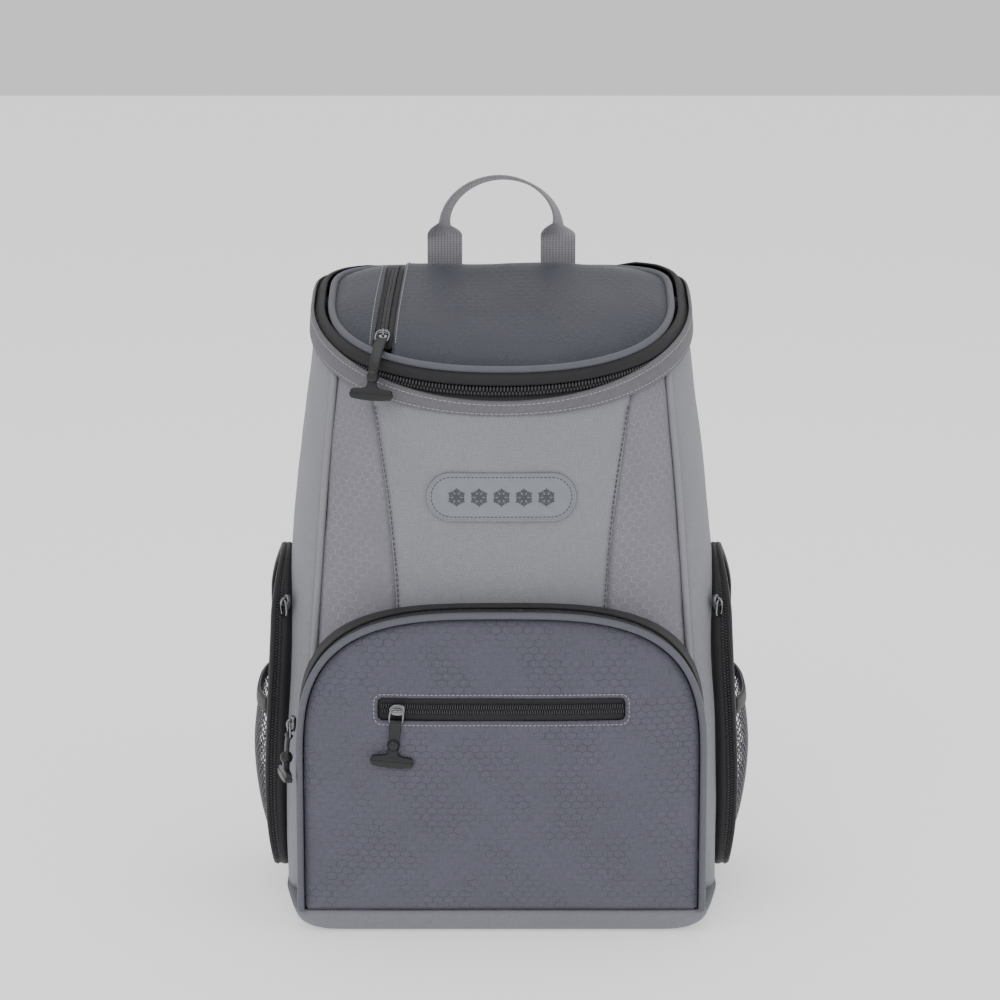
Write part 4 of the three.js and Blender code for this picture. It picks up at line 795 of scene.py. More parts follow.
@dataclass
class Route:
    """A line in space with an outward direction at each of its points, in millimetres."""

    points: Array
    normals: Array
    closed: bool = False

    def lengths(self) -> Array:
        """Length of the route at each of its points, and at its end where it is closed."""
        line = np.vstack([self.points, self.points[:1]]) if self.closed else self.points
        return run_lengths(line)

    def every(self, pitch: float, shift: float = 0.0) -> tuple[Array, Array, Array]:
        """Places along the route.

        Args:
            pitch: Distance from each place to the next, which is made to fit the length.
            shift: Share of the pitch by which they all move on.

        Returns:
            The points, the directions along the route and the outward directions.
        """
        lengths = self.lengths()
        count = max(int(round(lengths[-1] / pitch)), 1)
        at = (np.arange(count) + 0.5 + shift) / count * lengths[-1]
        at = at % lengths[-1] if self.closed else at[at < lengths[-1]]
        ahead = unit(self.read(at + 0.5) - self.read(at - 0.5))
        return self.read(at), ahead, unit(self.read(at, self.normals))

    def read(self, at: Array, values: Array | None = None) -> Array:
        """Points, or other values, at lengths along the route."""
        values = self.points if values is None else values
        lengths = self.lengths()
        at = at % lengths[-1] if self.closed else np.clip(at, 0, lengths[-1])
        values = np.vstack([values, values[:1]]) if self.closed else values
        return np.stack([np.interp(at, lengths, values[:, k]) for k in range(3)], -1)


UPWARD = (0.0, 0.0, 1.0)
FORWARD = (0.0, -1.0, 0.0)
BACKWARD = (0.0, 1.0, 0.0)


def facing(points: Array, direction: Sequence[float] | Array, closed: bool = False) -> Route:
    """Route through points, whose upper side faces one direction all along."""
    return Route(points, np.tile(np.asarray(direction, float), (len(points), 1)), closed)


def cord_on(name: str, route: Route, radius: float, sides: int = 12) -> bpy.types.Object:
    """Makes a round cord along a route, with its ends shut where it is open."""
    ahead = unit(ahead_of(route.points, route.closed))
    side = unit(np.cross(ahead, route.normals))
    over = unit(np.cross(side, ahead))
    turn = np.linspace(0, 2 * math.pi, sides, endpoint=False)
    ring = side[:, None] * np.cos(turn)[None, :, None] + over[:, None] * np.sin(turn)[None, :, None]
    points = (route.points[:, None] + ring * radius).reshape(-1, 3)
    count, lengths = len(route.points), route.lengths()
    faces, uvs = [], []
    around = 2 * math.pi * radius / sides
    for i in range(count if route.closed else count - 1):
        k = (i + 1) % count
        for s in range(sides):
            t = (s + 1) % sides
            faces.append((i * sides + s, i * sides + t, k * sides + t, k * sides + s))
            low, high = lengths[i], lengths[i + 1]
            uvs += [(s * around, low), ((s + 1) * around, low), ((s + 1) * around, high), (s * around, high)]
    if not route.closed:
        for first, way in ((0, -1), ((count - 1) * sides, 1)):
            faces.append(tuple(first + s for s in range(sides))[::way])
            uvs += [(s * around, 0) for s in range(sides)]
    return new_piece(name, points, faces, np.array(uvs))


def short_bars(
    name: str, starts: Array, ends: Array, ups: Array, radius: float, flat: float
) -> bpy.types.Object:
    """Makes many short bars with narrowed ends, such as stitches or the teeth of a zip, as one piece.

    Args:
        name: The piece's name.
        starts: Where each bar starts, in millimetres.
        ends: Where each ends.
        ups: Outward direction at each.
        radius: Half of a bar's width.
        flat: Its height as a share of its width.

    Returns:
        The piece.
    """
    along = ends - starts
    side = unit(np.cross(unit(along), ups))
    over = unit(np.cross(side, unit(along)))
    shares, widths, sides = (0.0, 0.18, 0.82, 1.0), (0.45, 1.0, 1.0, 0.45), 6
    turn = np.linspace(0, 2 * math.pi, sides, endpoint=False)
    rings = []
    for share, width in zip(shares, widths, strict=True):
        middle = starts + along * share - over * radius * flat * (1 - width) * 0.8
        ring = side[:, None] * np.cos(turn)[None, :, None]
        ring = ring + over[:, None] * np.sin(turn)[None, :, None] * flat
        rings.append(middle[:, None] + ring * radius * width)
    points = np.stack(rings, 1).reshape(-1, 3)
    pattern = []
    for r in range(len(shares) - 1):
        for s in range(sides):
            t = (s + 1) % sides
            pattern.append((r * sides + s, r * sides + t, (r + 1) * sides + t, (r + 1) * sides + s))
    last = (len(shares) - 1) * sides
    caps = [tuple(range(sides))[::-1], tuple(range(last, last + sides))]
    each = len(shares) * sides
    faces = [tuple(k * each + p for p in face) for k in range(len(starts)) for face in (*pattern, *caps)]
    return new_piece(name, points, faces)


def stitches_on(
    name: str, routes: Sequence[Route], pitch: float = 3.4, gap: float = 0.8, radius: float = 0.34
) -> bpy.types.Object:
    """Makes rows of stitches, which sink into the cloth at their ends."""
    starts, ends, ups = [], [], []
    for route in routes:
        points, ahead, normals = route.every(pitch)
        starts.append(points - ahead * (pitch - gap) / 2)
        ends.append(points + ahead * (pitch - gap) / 2)
        ups.append(normals)
    return short_bars(name, *(np.concatenate(part) for part in (starts, ends, ups)), radius, 0.9)


def teeth_on(name: str, route: Route, width: float, pitch: float = 1.55) -> bpy.types.Object:
    """Makes the two rows of a coil zip's teeth along a route."""
    starts, ends, ups = [], [], []
    for way in (-1, 1):
        points, ahead, normals = route.every(pitch, 0.25 * way)
        side = unit(np.cross(ahead, normals)) * way
        starts.append(points - side * 0.35)
        ends.append(points + side * width / 2 + ahead * 0.25)
        ups.append(normals)
    return short_bars(name, *(np.concatenate(part) for part in (starts, ends, ups)), pitch * 0.36, 1.25)


def ripple(points: Array, size: float, height: float, seed: float = 0.0) -> Array:
    """Soft noise over points: about plus or minus a height, with folds of a size."""
    shift = Vector((seed * 13.7, seed * 7.1, seed * 3.3))
    found = np.array([noise.noise(Vector(p) / size + shift) for p in points.reshape(-1, 3)])
    return height * found.reshape(points.shape[:-1])


def dress(
    piece: bpy.types.Object,
    finish: Cloth | Hard,
    nodes: Sequence[str] = (),
    fill: float | None = None,
) -> bpy.types.Object:
    """Gives a piece its finish and its body, and hides the imported nodes that it stands for.

    Args:
        piece: The piece.
        finish: Its cloth or other finish.
        nodes: Nodes that it stands for.
        fill: How full it is, where it is padded. Not used.

    Returns:
        The piece.
    """
    piece.data.materials.append(finish.material())
    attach(piece, ROOT)
    if nodes:
        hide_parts(*nodes)
    return piece


def declare_sheet(piece: bpy.types.Object) -> bpy.types.Object:
    """Reckons the area and the size that a sheet was cut to from its places on the cloth, but does nothing
    with them and gives the sheet back as it was.
    """
    layer = piece.data.uv_layers["cloth"].data
    flat = np.zeros(len(layer) * 2)
    layer.foreach_get("uv", flat)
    flat = flat.reshape(-1, 2)
    area = 0.0
    for face in piece.data.polygons:
        corner = flat[face.loop_start : face.loop_start + face.loop_total]
        after = np.roll(corner, -1, axis=0)
        area += abs(float(np.sum(corner[:, 0] * after[:, 1] - after[:, 0] * corner[:, 1]))) / 2
    width, length = np.ptp(flat, axis=0)
    area = min(area, float(width * length))
    return piece


# The body's form


@dataclass
class BodyForm:
    """The body's skin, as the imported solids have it. All sizes are in millimetres.

    Attributes:
        width: Width of the widest plan.
        depth: Depth from front to back.
        rim: Height of the rim at the middle of the front.
        slope_deg: Slope of the rim towards the back.
        from_back: How far in front of the back the body is widest.
        back_power: Exponent of the back corners.
        back_seam: Half width of the back panel as a share of the body's.
        zip_end: Half of the stretch of the back that has no zip.
        piping: Radius of the piping.
        wall_foot: Height of the seam with the base.
    """

    width: float = 304
    depth: float = 172
    rim: float = 365
    slope_deg: float = 16.5
    from_back: float = 60
    back_power: float = 5
    back_seam: float = 0.88
    zip_end: float = 75
    piping: float = 2.4
    wall_foot: float = 17.4
    front: float = field(init=False)
    back: float = field(init=False)
    widest: float = field(init=False)
    plans: dict[float, Oval] = field(init=False, default_factory=dict)

    HEIGHTS = (0.0, 0.3, 0.5, 0.65, 0.8, 0.92, 1.0)
    WIDTHS = (0.985, 1.0, 0.997, 0.965, 0.922, 0.882, 0.858)
    SEAMS = (0.905, 0.875, 0.845, 0.818, 0.79, 0.76, 0.74)
    PANELS = (0.45, 0.458, 0.466, 0.476, 0.508, 0.552, 0.585)
    CORNERS = (9.0, 5.6, 3.9, 3.5, 3.0, 2.5, 2.15)

    def __post_init__(self) -> None:
        """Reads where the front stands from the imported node, and prepares the tables."""
        self.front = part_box("front_centre_panel")[0][1] / MM
        self.back = self.front + self.depth
        self.widest = self.back - self.from_back
        self.width_at = table_curve(self.HEIGHTS, self.WIDTHS)
        self.seam_at = table_curve(self.HEIGHTS, self.SEAMS)
        self.panel_at = table_curve(self.HEIGHTS, self.PANELS)
        self.corner_at = table_curve(self.HEIGHTS, self.CORNERS)

    def rim_height(self, y: Array) -> Array:
        """Height of the rim's plane at a depth."""
        return self.rim + (y - self.front) * math.tan(math.radians(self.slope_deg))

    def plan(self, share: float) -> Oval:
        """Plan of the body at a share of the rim's height."""
        key = round(float(share), 4)
        if key not in self.plans:
            half = self.width / 2 * float(self.width_at(share))
            corner = float(self.corner_at(share))
            self.plans[key] = Oval(half, self.widest - self.front, corner, self.from_back, self.back_power)
        return self.plans[key]

    def point(self, share: float, rounds: Array, out: "Array | float" = 0.0) -> Array:
        """Points out from the skin, at a share of the rim's height and places round the plan."""
        p = self.plan(share).out(rounds, out)
        y = self.widest - p[..., 1]
        return np.stack([p[..., 0], y, share * self.rim_height(y)], -1)

    def at_rim(self, rounds: Array, rise: float, out: "Array | float" = 0.0) -> Array:
        """Points out from the skin at a height over the rim, or under it if that is negative."""
        p = self.point(min(1 + rise / self.rim, 1), rounds, out)
        p[..., 2] = self.rim_height(p[..., 1]) + rise
        return p

    def panel_edge(self, share: float) -> float:
        """Place of the edge of the front's middle panel."""
        return self.plan(share).fore_arc.share_across(self.width / 2 * float(self.panel_at(share)))

    def seam_edge(self, share: float) -> float:
        """Place of the piped seam."""
        return self.plan(share).fore_arc.share_across(self.width / 2 * float(self.seam_at(share)))

    def back_edge(self, share: float) -> float:
        """Place of the seam between the side and the back."""
        plan = self.plan(share)
        return 2 - plan.aft_arc.share_across(plan.half * self.back_seam)

    def zip_stop(self) -> float:
        """Place where the zip at the rim stops."""
        return 2 - self.plan(1).aft_arc.share_across(self.zip_end)

    def skin_y(self, face: int, x: Array, z: Array) -> Array:
        """Reach of the skin towards the front, -1, or the back, 1."""
        y = np.full(np.broadcast(x, z).shape, self.front if face < 0 else self.back, float)
        for _ in range(5):
            share = np.minimum(z / self.rim_height(y), 1)
            half = self.width / 2 * self.width_at(share)
            power = self.corner_at(share) if face < 0 else self.back_power
            reach = self.widest - self.front if face < 0 else self.from_back
            y = self.widest + face * reach * np.maximum(1 - np.abs(x / half) ** power, 0) ** (1 / power)
        return y

    def on_face(self, face: int, x: Array, z: Array, out: "Array | float" = 0.0) -> Array:
        """Points over the front or the back."""
        lean_x = (self.skin_y(face, x + 1, z) - self.skin_y(face, x - 1, z)) / 2
        lean_z = (self.skin_y(face, x, z + 1) - self.skin_y(face, x, z - 1)) / 2
        normal = unit(np.stack([-lean_x * face, np.full_like(lean_x, face), -lean_z * face], -1))
        return np.stack([x, self.skin_y(face, x, z), z], -1) + normal * np.asarray(out, float)[..., None]

    def reach_x(self, y: Array, z: Array) -> Array:
        """Half of the body's width at a depth and a height."""
        share = np.minimum(z / self.rim_height(y), 1)
        along = self.widest - y
        reach = np.where(along > 0, self.widest - self.front, self.from_back)
        power = np.where(along > 0, self.corner_at(share), self.back_power)
        half = self.width / 2 * self.width_at(share)
        return half * np.maximum(1 - np.abs(along / reach) ** power, 0) ** (1 / power)

    def on_side(self, side: int, y: Array, z: Array, out: "Array | float" = 0.0) -> Array:
        """Points over the side: 1 is +X and -1 is -X."""
        lean_y = (self.reach_x(y + 1, z) - self.reach_x(y - 1, z)) / 2
        lean_z = (self.reach_x(y, z + 1) - self.reach_x(y, z - 1)) / 2
        normal = unit(np.stack([np.full_like(lean_y, side), -lean_y, -lean_z], -1))
        return np.stack([side * self.reach_x(y, z), y, z], -1) + normal * np.asarray(out, float)[..., None]


SIDES = {"left": -1, "right": 1}


def seam_dip(grid: Array, depth: float, reach: float, edges: str = "lrtb") -> Array:
    """How far a sewn panel sinks towards its edges.

    Args:
        grid: The panel's rows of points.
        depth: How far it sinks at the edge.
        reach: How wide the sunk strip is.
        edges: Which edges sink: left, right, top and bottom, by their first letters.

    Returns:
        The depth at each point, negative inward.
    """
    across = np.linalg.norm(np.diff(grid, axis=1), axis=2).cumsum(1)
    across = np.concatenate([np.zeros((len(grid), 1)), across], 1)
    along = np.linalg.norm(np.diff(grid, axis=0), axis=2).cumsum(0)
    along = np.concatenate([np.zeros((1, grid.shape[1])), along], 0)
    found = np.full(grid.shape[:2], 1e9)
    distances = {"l": across, "r": across[:, -1:] - across, "b": along, "t": along[-1:] - along}
    for edge, distance in distances.items():
        if edge in edges:
            found = np.minimum(found, distance)
    return -depth * np.exp(-((found / reach) ** 1.5))


@dataclass
class Walls:
    """The padded panels of the body, the piping of its front seams and their stitches."""

    form: BodyForm
    cell: float = 5.0
    pad: float = 3.0
    seam_gap: float = 0.4
    rim_gap: float = 0.4
    row_top: float = 12
    back_row_foot: float = 30
    back_row_lap: float = 0.02

    WIDEST: ClassVar[float] = 0.6
    LAP: ClassVar[float] = 2.0
    LAP_FOOT: ClassVar[float] = 190

    def panel(self, start: Edge, end: Edge) -> Array:
        """Grid of a panel between two places round the plan, up to just under the rim."""
        form = self.form
        foot = form.wall_foot
        rows = int((form.rim - foot) / self.cell)
        across = form.point(self.WIDEST, np.linspace(start(self.WIDEST), end(self.WIDEST), 60))
        columns = max(int(np.linalg.norm(np.diff(across, axis=0), axis=1).sum() / self.cell), 6)
        grid = []
        for j in range(rows + 1):
            share = foot / form.rim + (1 - foot / form.rim) * j / rows
            p = form.point(share, np.linspace(start(share), end(share), columns + 1))
            p[:, 2] = foot + (form.rim_height(p[:, 1]) - self.rim_gap - foot) * j / rows
            grid.append(p)
        return np.array(grid)

    def sewn(self, name: str, grid: Array, finish: Cloth, node: str, seed: float) -> None:
        """Makes one panel: sunk at its seams, a little full between them, with soft ripples."""
        relief = seam_dip(grid, 1.3, 2.6, "lr") + ripple(grid, 46.0, 0.9, seed)
        relief = relief + ripple(grid, 17.0, 0.22, seed + 2)
        piece = grid_sheet(name, grid + grid_normals(grid) * relief[..., None], self.pad)
        dress(piece, finish, [node], 0.5)
        LOG.info("panel %s", name)

    def gap(self, share: float) -> float:
        """Half of a seam's gap, as a share of the front quarter of the plan."""
        return self.seam_gap / 2 / self.form.plan(share).fore_arc.length

    def piping(self, share: float) -> float:
        """What a panel leaves for the piping, as a share of the front quarter of the plan."""
        return (self.form.piping * 0.55) / self.form.plan(share).fore_arc.length

    def lap_edge(self, share: float) -> float:
        """Place of the stitches through the middle panel's lapped edge."""
        return self.form.panel_edge(share) - self.LAP / self.form.plan(share).fore_arc.length

    def centre_edge(self, share: float) -> float:
        """Place of the edge of the middle panel."""
        return self.form.panel_edge(share) - self.gap(share)

    def patterned_start(self, share: float) -> float:
        """Place of the patterned panel's edge beside the middle panel."""
        return self.form.panel_edge(share) - 3 * self.gap(share)

    def patterned_end(self, share: float) -> float:
        """Place of the patterned panel's edge at the piping."""
        return self.form.seam_edge(share) - self.piping(share)

    def gusset_start(self, share: float) -> float:
        """Place of the gusset's edge at the piping."""
        return self.form.seam_edge(share) + self.piping(share)

    def side_panel(self, start: Edge, end: Edge, side: int) -> Array:
        """Grid of a panel on one side, whose places are given for the right."""
        if side > 0:
            return self.panel(start, end)
        return self.panel(lambda share: -end(share), lambda share: -start(share))

    def build(self) -> None:
        """Builds the panels, the piping and the stitches."""
        back_edge = self.form.back_edge
        centre = self.panel(lambda share: -self.centre_edge(share), self.centre_edge)
        self.sewn("front_centre_cloth", centre, GREY, "front_centre_panel", 1)
        for hand, side in SIDES.items():
            grid = self.side_panel(self.patterned_start, self.patterned_end, side)
            name, node = f"front_side_cloth_{hand}", f"front_side_panel_{hand}"
            self.sewn(name, grid, PATTERNED, node, 2 + side)
            grid = self.side_panel(self.gusset_start, back_edge, side)
            self.sewn(f"side_cloth_{hand}", grid, GREY, f"side_gusset_{hand}", 5 + side)
        back = self.panel(back_edge, lambda share: 4 - back_edge(share))
        self.sewn("back_cloth", back, GREY, "back_panel", 9)
        self.seams()

    def line(self, place: Edge, low: float, high: float, out: float) -> Route:
        """Route up the skin at a place round the plan, between two heights."""
        form = self.form
        shares = np.linspace(low / form.rim, high / form.rim, 70)
        points = np.array([form.point(s, np.array([place(s)]), out)[0] for s in shares])
        beyond = np.array([form.point(s, np.array([place(s)]), out + 1)[0] for s in shares])
        return Route(points, unit(beyond - points))

    def seams(self) -> None:
        """The piping of the front seams, and the stitches beside the front's middle panel."""
        form = self.form
        for hand, side in SIDES.items():
            route = self.line(lambda s: side * form.seam_edge(s), form.wall_foot + 2, form.rim - 2.5, 0.2)
            piece = cord_on(f"seam_piping_{hand}", route, form.piping)
            dress(piece, PIPED, [f"body_piping_{hand}"])
            row = self.line(lambda s: side * self.lap_edge(s), self.LAP_FOOT, form.rim - self.row_top, 0.15)
            dress(stitches_on(f"panel_stitches_{hand}", [row], 3.6, 0.9, 0.42), DARK_THREAD)
            top = form.rim - self.row_top
            lap, foot = self.back_row_lap, self.back_row_foot
            back = self.line(lambda s: side * (form.back_edge(s) + lap), foot, top, -0.1)
            dress(stitches_on(f"back_seam_stitches_{hand}", [back]), THREAD)


@dataclass
class BaseTray:
    """The padded base, which reaches forward under the front pocket."""

    form: BodyForm
    height: float = 17
    roll: float = 13
    side_roll: float = 24
    narrowing: float = 0.045
    front_power: float = 22
    pocket_depth: float = 29
    roll_power: float = 2.1
    narrow_behind: float = 25
    narrow_over: float = 40
    fill: float = 0.5

    def outline(self) -> Oval:
        """Plan of the base."""
        form = self.form
        fore = form.widest - form.front + self.pocket_depth
        half = form.width / 2 * float(form.width_at(0))
        return Oval(half, fore, self.front_power, form.from_back, form.back_power)

    def build(self) -> None:
        """Builds the tray from its seam, round the roll and over the bottom."""
        outline = self.outline()
        rounds = all_round(220)
        around = outline.at(rounds)
        rows = []
        for turn in np.linspace(0, math.pi / 2, 9):
            inset = 1 - math.cos(turn) ** (2 / self.roll_power)
            z = self.height * (1 - math.sin(turn) ** (2 / self.roll_power)) if turn else self.height
            rows.append((inset, z))
        rows += [(1 + extra, 0.0) for extra in (0.5, 1.3, 2.6)]
        rows = [(0.9, self.height + 0.2), (0.45, self.height + 0.3), (0.12, self.height + 0.3), *rows]
        grid = []
        for inset, z in rows:
            reach = np.where(around[:, 1] > 0, outline.fore, outline.aft)
            y = self.form.widest - around[:, 1] * (1 - inset * self.roll / reach)
            behind = self.form.front + self.narrow_behind - y
            narrow = 1 - self.narrowing * np.clip(behind / self.narrow_over, 0, 1)
            x = around[:, 0] * (1 - inset * self.side_roll / outline.half) * narrow
            grid.append(np.stack([x, y, np.full_like(x, z)], -1))
        grid = np.array(grid)[::-1]
        middle = grid[0].mean(0)
        grid = np.concatenate([(middle + (grid[0] - middle) * 0.02)[None], grid])
        soft = ripple(grid, 60.0, 0.8, 21) * (grid[..., 2] > 2)
        grid = grid + grid_normals(grid, True) * soft[..., None]
        piece = grid_sheet("base_cloth", grid, 4.0, True)
        dress(piece, BASE, ["base_panel"], self.fill)
        LOG.info("base %s", piece.name)


@dataclass
class Rim:
    """The stitched binding round the rim, the zip over it, and the hinge cloth at the back."""

    form: BodyForm
    step: float = 4.0
    climb: float = 9.0
    climb_foot: float = 1.2
    back_rise: float = 4.5

    def rounds(self) -> Array:
        """Places along the zip."""
        stop = self.form.zip_stop()
        return np.linspace(-stop, stop, int(700 / self.step))

    def band(
        self,
        name: str,
        profile: Sequence[tuple[float, float]],
        thickness: float,
        lifts: Sequence[Array] | None = None,
    ) -> bpy.types.Object:
        """Makes a band along the whole zip.

        Args:
            name: The piece's name.
            profile: Points of rise over the rim and distance out from the skin.
            thickness: Thickness in millimetres.
            lifts: How much higher each row of the band runs, place by place.

        Returns:
            The band.
        """
        rounds = self.rounds()
        grid = np.array([self.form.at_rim(rounds, rise, out) for rise, out in profile])
        if lifts is not None:
            grid[..., 2] += np.array(lifts)
        return grid_sheet(name, grid, thickness)

    def climbing(self) -> Array:
        """How much higher the binding's edge runs than at the middle of the front."""
        x = self.form.at_rim(self.rounds(), 0.0)[:, 0]
        return self.climb_foot + self.climb * (x / 100) ** 2

    def row(self, rise: float, out: float, climbs: float = 0.0) -> Route:
        """Route along the zip at a rise, which climbs with a share of the binding's climb."""
        rounds = self.rounds()
        points = self.form.at_rim(rounds, rise, out)
        normals = unit(self.form.at_rim(rounds, rise, out + 1) - points)
        points[:, 2] += self.climbing() * climbs
        return Route(points, normals)

    def build(self) -> None:
        """Builds the binding, the tapes, the teeth, the stitches and the hinge."""
        profile = [(-10, 0.3), (-9.7, 1.7), (-9, 2.2), (-7.6, 1.9), (-6, 2.3), (-4, 2.3), (-2.6, 1.9)]
        profile += [(-1.2, 2.2), (-0.5, 1.8), (-0.3, 0.4)]
        shares = [0.55 + 0.45 * k / (len(profile) - 1) for k in range(len(profile))]
        band = self.band("rim_binding", profile, 0.8, [self.climbing() * share for share in shares])
        piece = dress(band, BINDING, ["rim_hem"])
        declare_sheet(piece)
        rows = [self.row(-8.1, 2.0, 0.65), self.row(-2.4, 2.05, 0.93)]
        dress(stitches_on("binding_stitches", rows, 3.3, 0.7, 0.4), THREAD)
        lower = [(-0.4, 0.6), (1.2, 0.3), (3.4, -0.5)]
        dress(self.band("rim_lower_tape", lower, TAPE_THICK), TAPE, ["rim_zip_lower_tape"])
        middle = [(3.0, -0.9), (5.8, -1.1), (8.8, -1.4)]
        dress(self.band("rim_chain_tape", middle, TAPE_THICK), TAPE)
        teeth = teeth_on("rim_teeth", self.row(6.6, -0.5), 7.0, 2.3)
        dress(teeth, TEETH, ["rim_zip_chain"])
        upper = [(10.0, -1.2), (10.8, -0.6), (12.2, -0.6), (14.0, -1.6), (15.6, -3.2), (16.6, -5.6)]
        upper += [(16.8, -7.4)]
        way = np.abs(self.rounds())
        stand = np.clip((way - 1.05) / 0.3, 0, 1) * np.clip((way.max() - way) / 0.12, 0, 1)
        stand = stand * np.where(self.rounds() < 0, 0.5, 1.0) * self.back_rise
        lifts = [stand * share for share in (0.0, 0.2, 0.5, 0.8, 1.0, 1.0, 1.0)]
        band = self.band("rim_upper_tape", upper, 0.9, lifts)
        dress(band, TAPE, ["rim_zip_upper_tape"])
        stop = self.form.zip_stop()
        rounds = np.linspace(stop, 4 - stop, 30)
        hinge = [(-0.2, 0.8), (5, 0.2), (10, -1.4), (15.5, -4.6), (17.0, -6.5)]
        grid = np.array([self.form.at_rim(rounds, rise, out) for rise, out in hinge])
        piece = dress(grid_sheet("hinge_cloth", grid, 1.4), GREY, ["lid_hinge"])
        declare_sheet(piece)
        LOG.info("rim with %s", teeth.name)


@dataclass
class Lid:
    """The lid: its padded top in two cloths with the pocket's zip between them, and the piping round it."""

    form: BodyForm
    piping_rise: float = 18.4
    piping_inset: float = 8.2
    edge_rise: float = 17.4
    edge_inset: float = 11.2
    side_inset: float = 4.2
    crown: float = 7.6
    crown_power: float = 8
    zip_front_x: float = -81
    zip_back_x: float = -73
    slot: float = 13
    reach: float = 3.4

    def outline(self, grow: float = 0.0) -> Oval:
        """Plan of the lid's top."""
        plan = self.form.plan(1)
        inset = self.edge_inset - grow
        half = plan.half - inset - self.side_inset
        aft = self.form.from_back - inset
        return Oval(half, plan.fore - inset, plan.fore_power + 0.15, aft, self.form.back_power)

    def top(self, x: Array, y: Array, out: "Array | float" = 0.0) -> Array:
        """Points over the lid's top at a place in plan."""
        share = np.minimum(self.outline().share(x, self.form.widest - y), 1)
        z = self.form.rim_height(y) + self.edge_rise + 1.4 + self.crown * (1 - share**self.crown_power)
        return np.stack([x, y, z + out], -1)

    def soft_top(self, x: Array, y: Array) -> Array:
        """Points of the cloth: sunk beside the piping and the zip, with soft folds."""
        flat = np.stack([x, y], -1)
        rounds = all_round(160)
        edge = self.outline(self.reach).at(rounds)
        edge = np.stack([edge[:, 0], self.form.widest - edge[:, 1]], -1)
        from_edge = distance_to(flat, edge)
        from_zip = np.abs(x - self.zip_x(y)) - self.slot / 2
        sink = 2.0 * np.exp(-((from_edge / 3.2) ** 2)) - 0.7 * np.exp(-(((from_zip - 2.2) / 1.8) ** 2))
        sink = sink + 0.7 * np.exp(-((from_zip / 0.9) ** 2))
        folds = ripple(np.stack([x, y, np.zeros_like(x)], -1), 52.0, 1.5, 31)
        folds = folds + ripple(np.stack([x * 1.3, y * 0.5, x * 0], -1), 19.0, 0.35, 33)
        return self.top(x, y, folds * np.minimum(from_edge / 12, 1) - sink)

    def zip_x(self, y: Array) -> Array:
        """Middle of the pocket's zip at a depth."""
        share = np.clip((y - self.form.front) / self.form.depth, 0, 1)
        return self.zip_front_x + (self.zip_back_x - self.zip_front_x) * share**1.6

    def half_outline(self, side: int) -> Array:
        """Outline in plan of the cloth on one side of the zip."""
        rounds = all_round(400)
        p = self.outline(self.reach).at(rounds)
        p = np.stack([p[:, 0], self.form.widest - p[:, 1]], -1)
        keep = side * (p[:, 0] - self.zip_x(p[:, 1])) > self.slot / 2
        first = int(np.argmax(keep & ~np.roll(keep, 1)))
        run = np.roll(p, -first, 0)[: int(keep.sum())]
        ends = []
        for index in (0, -1):
            y = run[index, 1]
            ends.append(np.array([self.zip_x(y) + side * self.slot / 2, y]))
        run = np.vstack([ends[0], run, ends[1]])
        return evened(run, CUT_STEP, closed=True)

    def zip_ends(self) -> tuple[float, float]:
        """Depths at which the zip meets the lid's edge, at the front and the back."""
        y = np.linspace(self.form.front, self.form.back, 800)
        on = y[self.outline().share(self.zip_x(y), self.form.widest - y) < 1]
        return float(on[0]), float(on[-1])

    def build(self) -> None:
        """Builds the two cloths, the piping and the zip."""
        names = {-1: ("lid_pocket_cloth", "lid_pocket_panel"), 1: ("lid_top_cloth", "lid_top_panel")}
        for side, (name, node) in names.items():
            piece = cut_sheet(name, self.half_outline(side), [], self.soft_top, 4.5, 3.0)
            dress(piece, LID, [node], 0.6)
        rounds = all_round(190)
        p = self.outline(self.edge_inset - self.piping_inset).at(rounds)
        y = self.form.widest - p[:, 1]
        back = np.clip((np.abs(rounds) - 1.2) / 0.5, 0, 1)
        p = np.stack([p[:, 0], y, self.form.rim_height(y) + self.piping_rise - 0.8 - 1.2 * back], -1)
        rope = facing(p, UPWARD, True)
        cord = cord_on("lid_piping_cord", rope, self.form.piping + 0.2, 14)
        dress(cord, DARK_PIPED, ["lid_piping"])
        self.zip_run()
        LOG.info("lid")

    def zip_run(self) -> None:
        """Tape, teeth and stitches of the lid's pocket."""
        low, high = self.zip_ends()
        y = np.linspace(low + 2, high - 2, 40)
        across = np.linspace(-self.slot / 2 - 1, self.slot / 2 + 1, 7)
        grid = np.array([self.top(self.zip_x(y) + a, y, -2.0) for a in across]).transpose(1, 0, 2)
        dress(grid_sheet("lid_zip_tape", grid, TAPE_THICK), TAPE, ["lid_pocket_zip_tape"])
        middle = self.top(self.zip_x(y), y, -1.3)
        route = Route(middle, grid_normals(grid)[:, 3])
        dress(teeth_on("lid_zip_teeth", route, 5.6), TEETH, ["lid_pocket_zip_chain"])
        rows = []
        for side in (-1, 1):
            x = self.zip_x(y) + side * (self.slot / 2 + 2.4)
            points = self.soft_top(x, y)
            rows.append(Route(points + [0, 0, 0.2], route.normals))
        dress(stitches_on("lid_zip_stitches", rows, 3.0, 0.7, 0.34), THREAD)


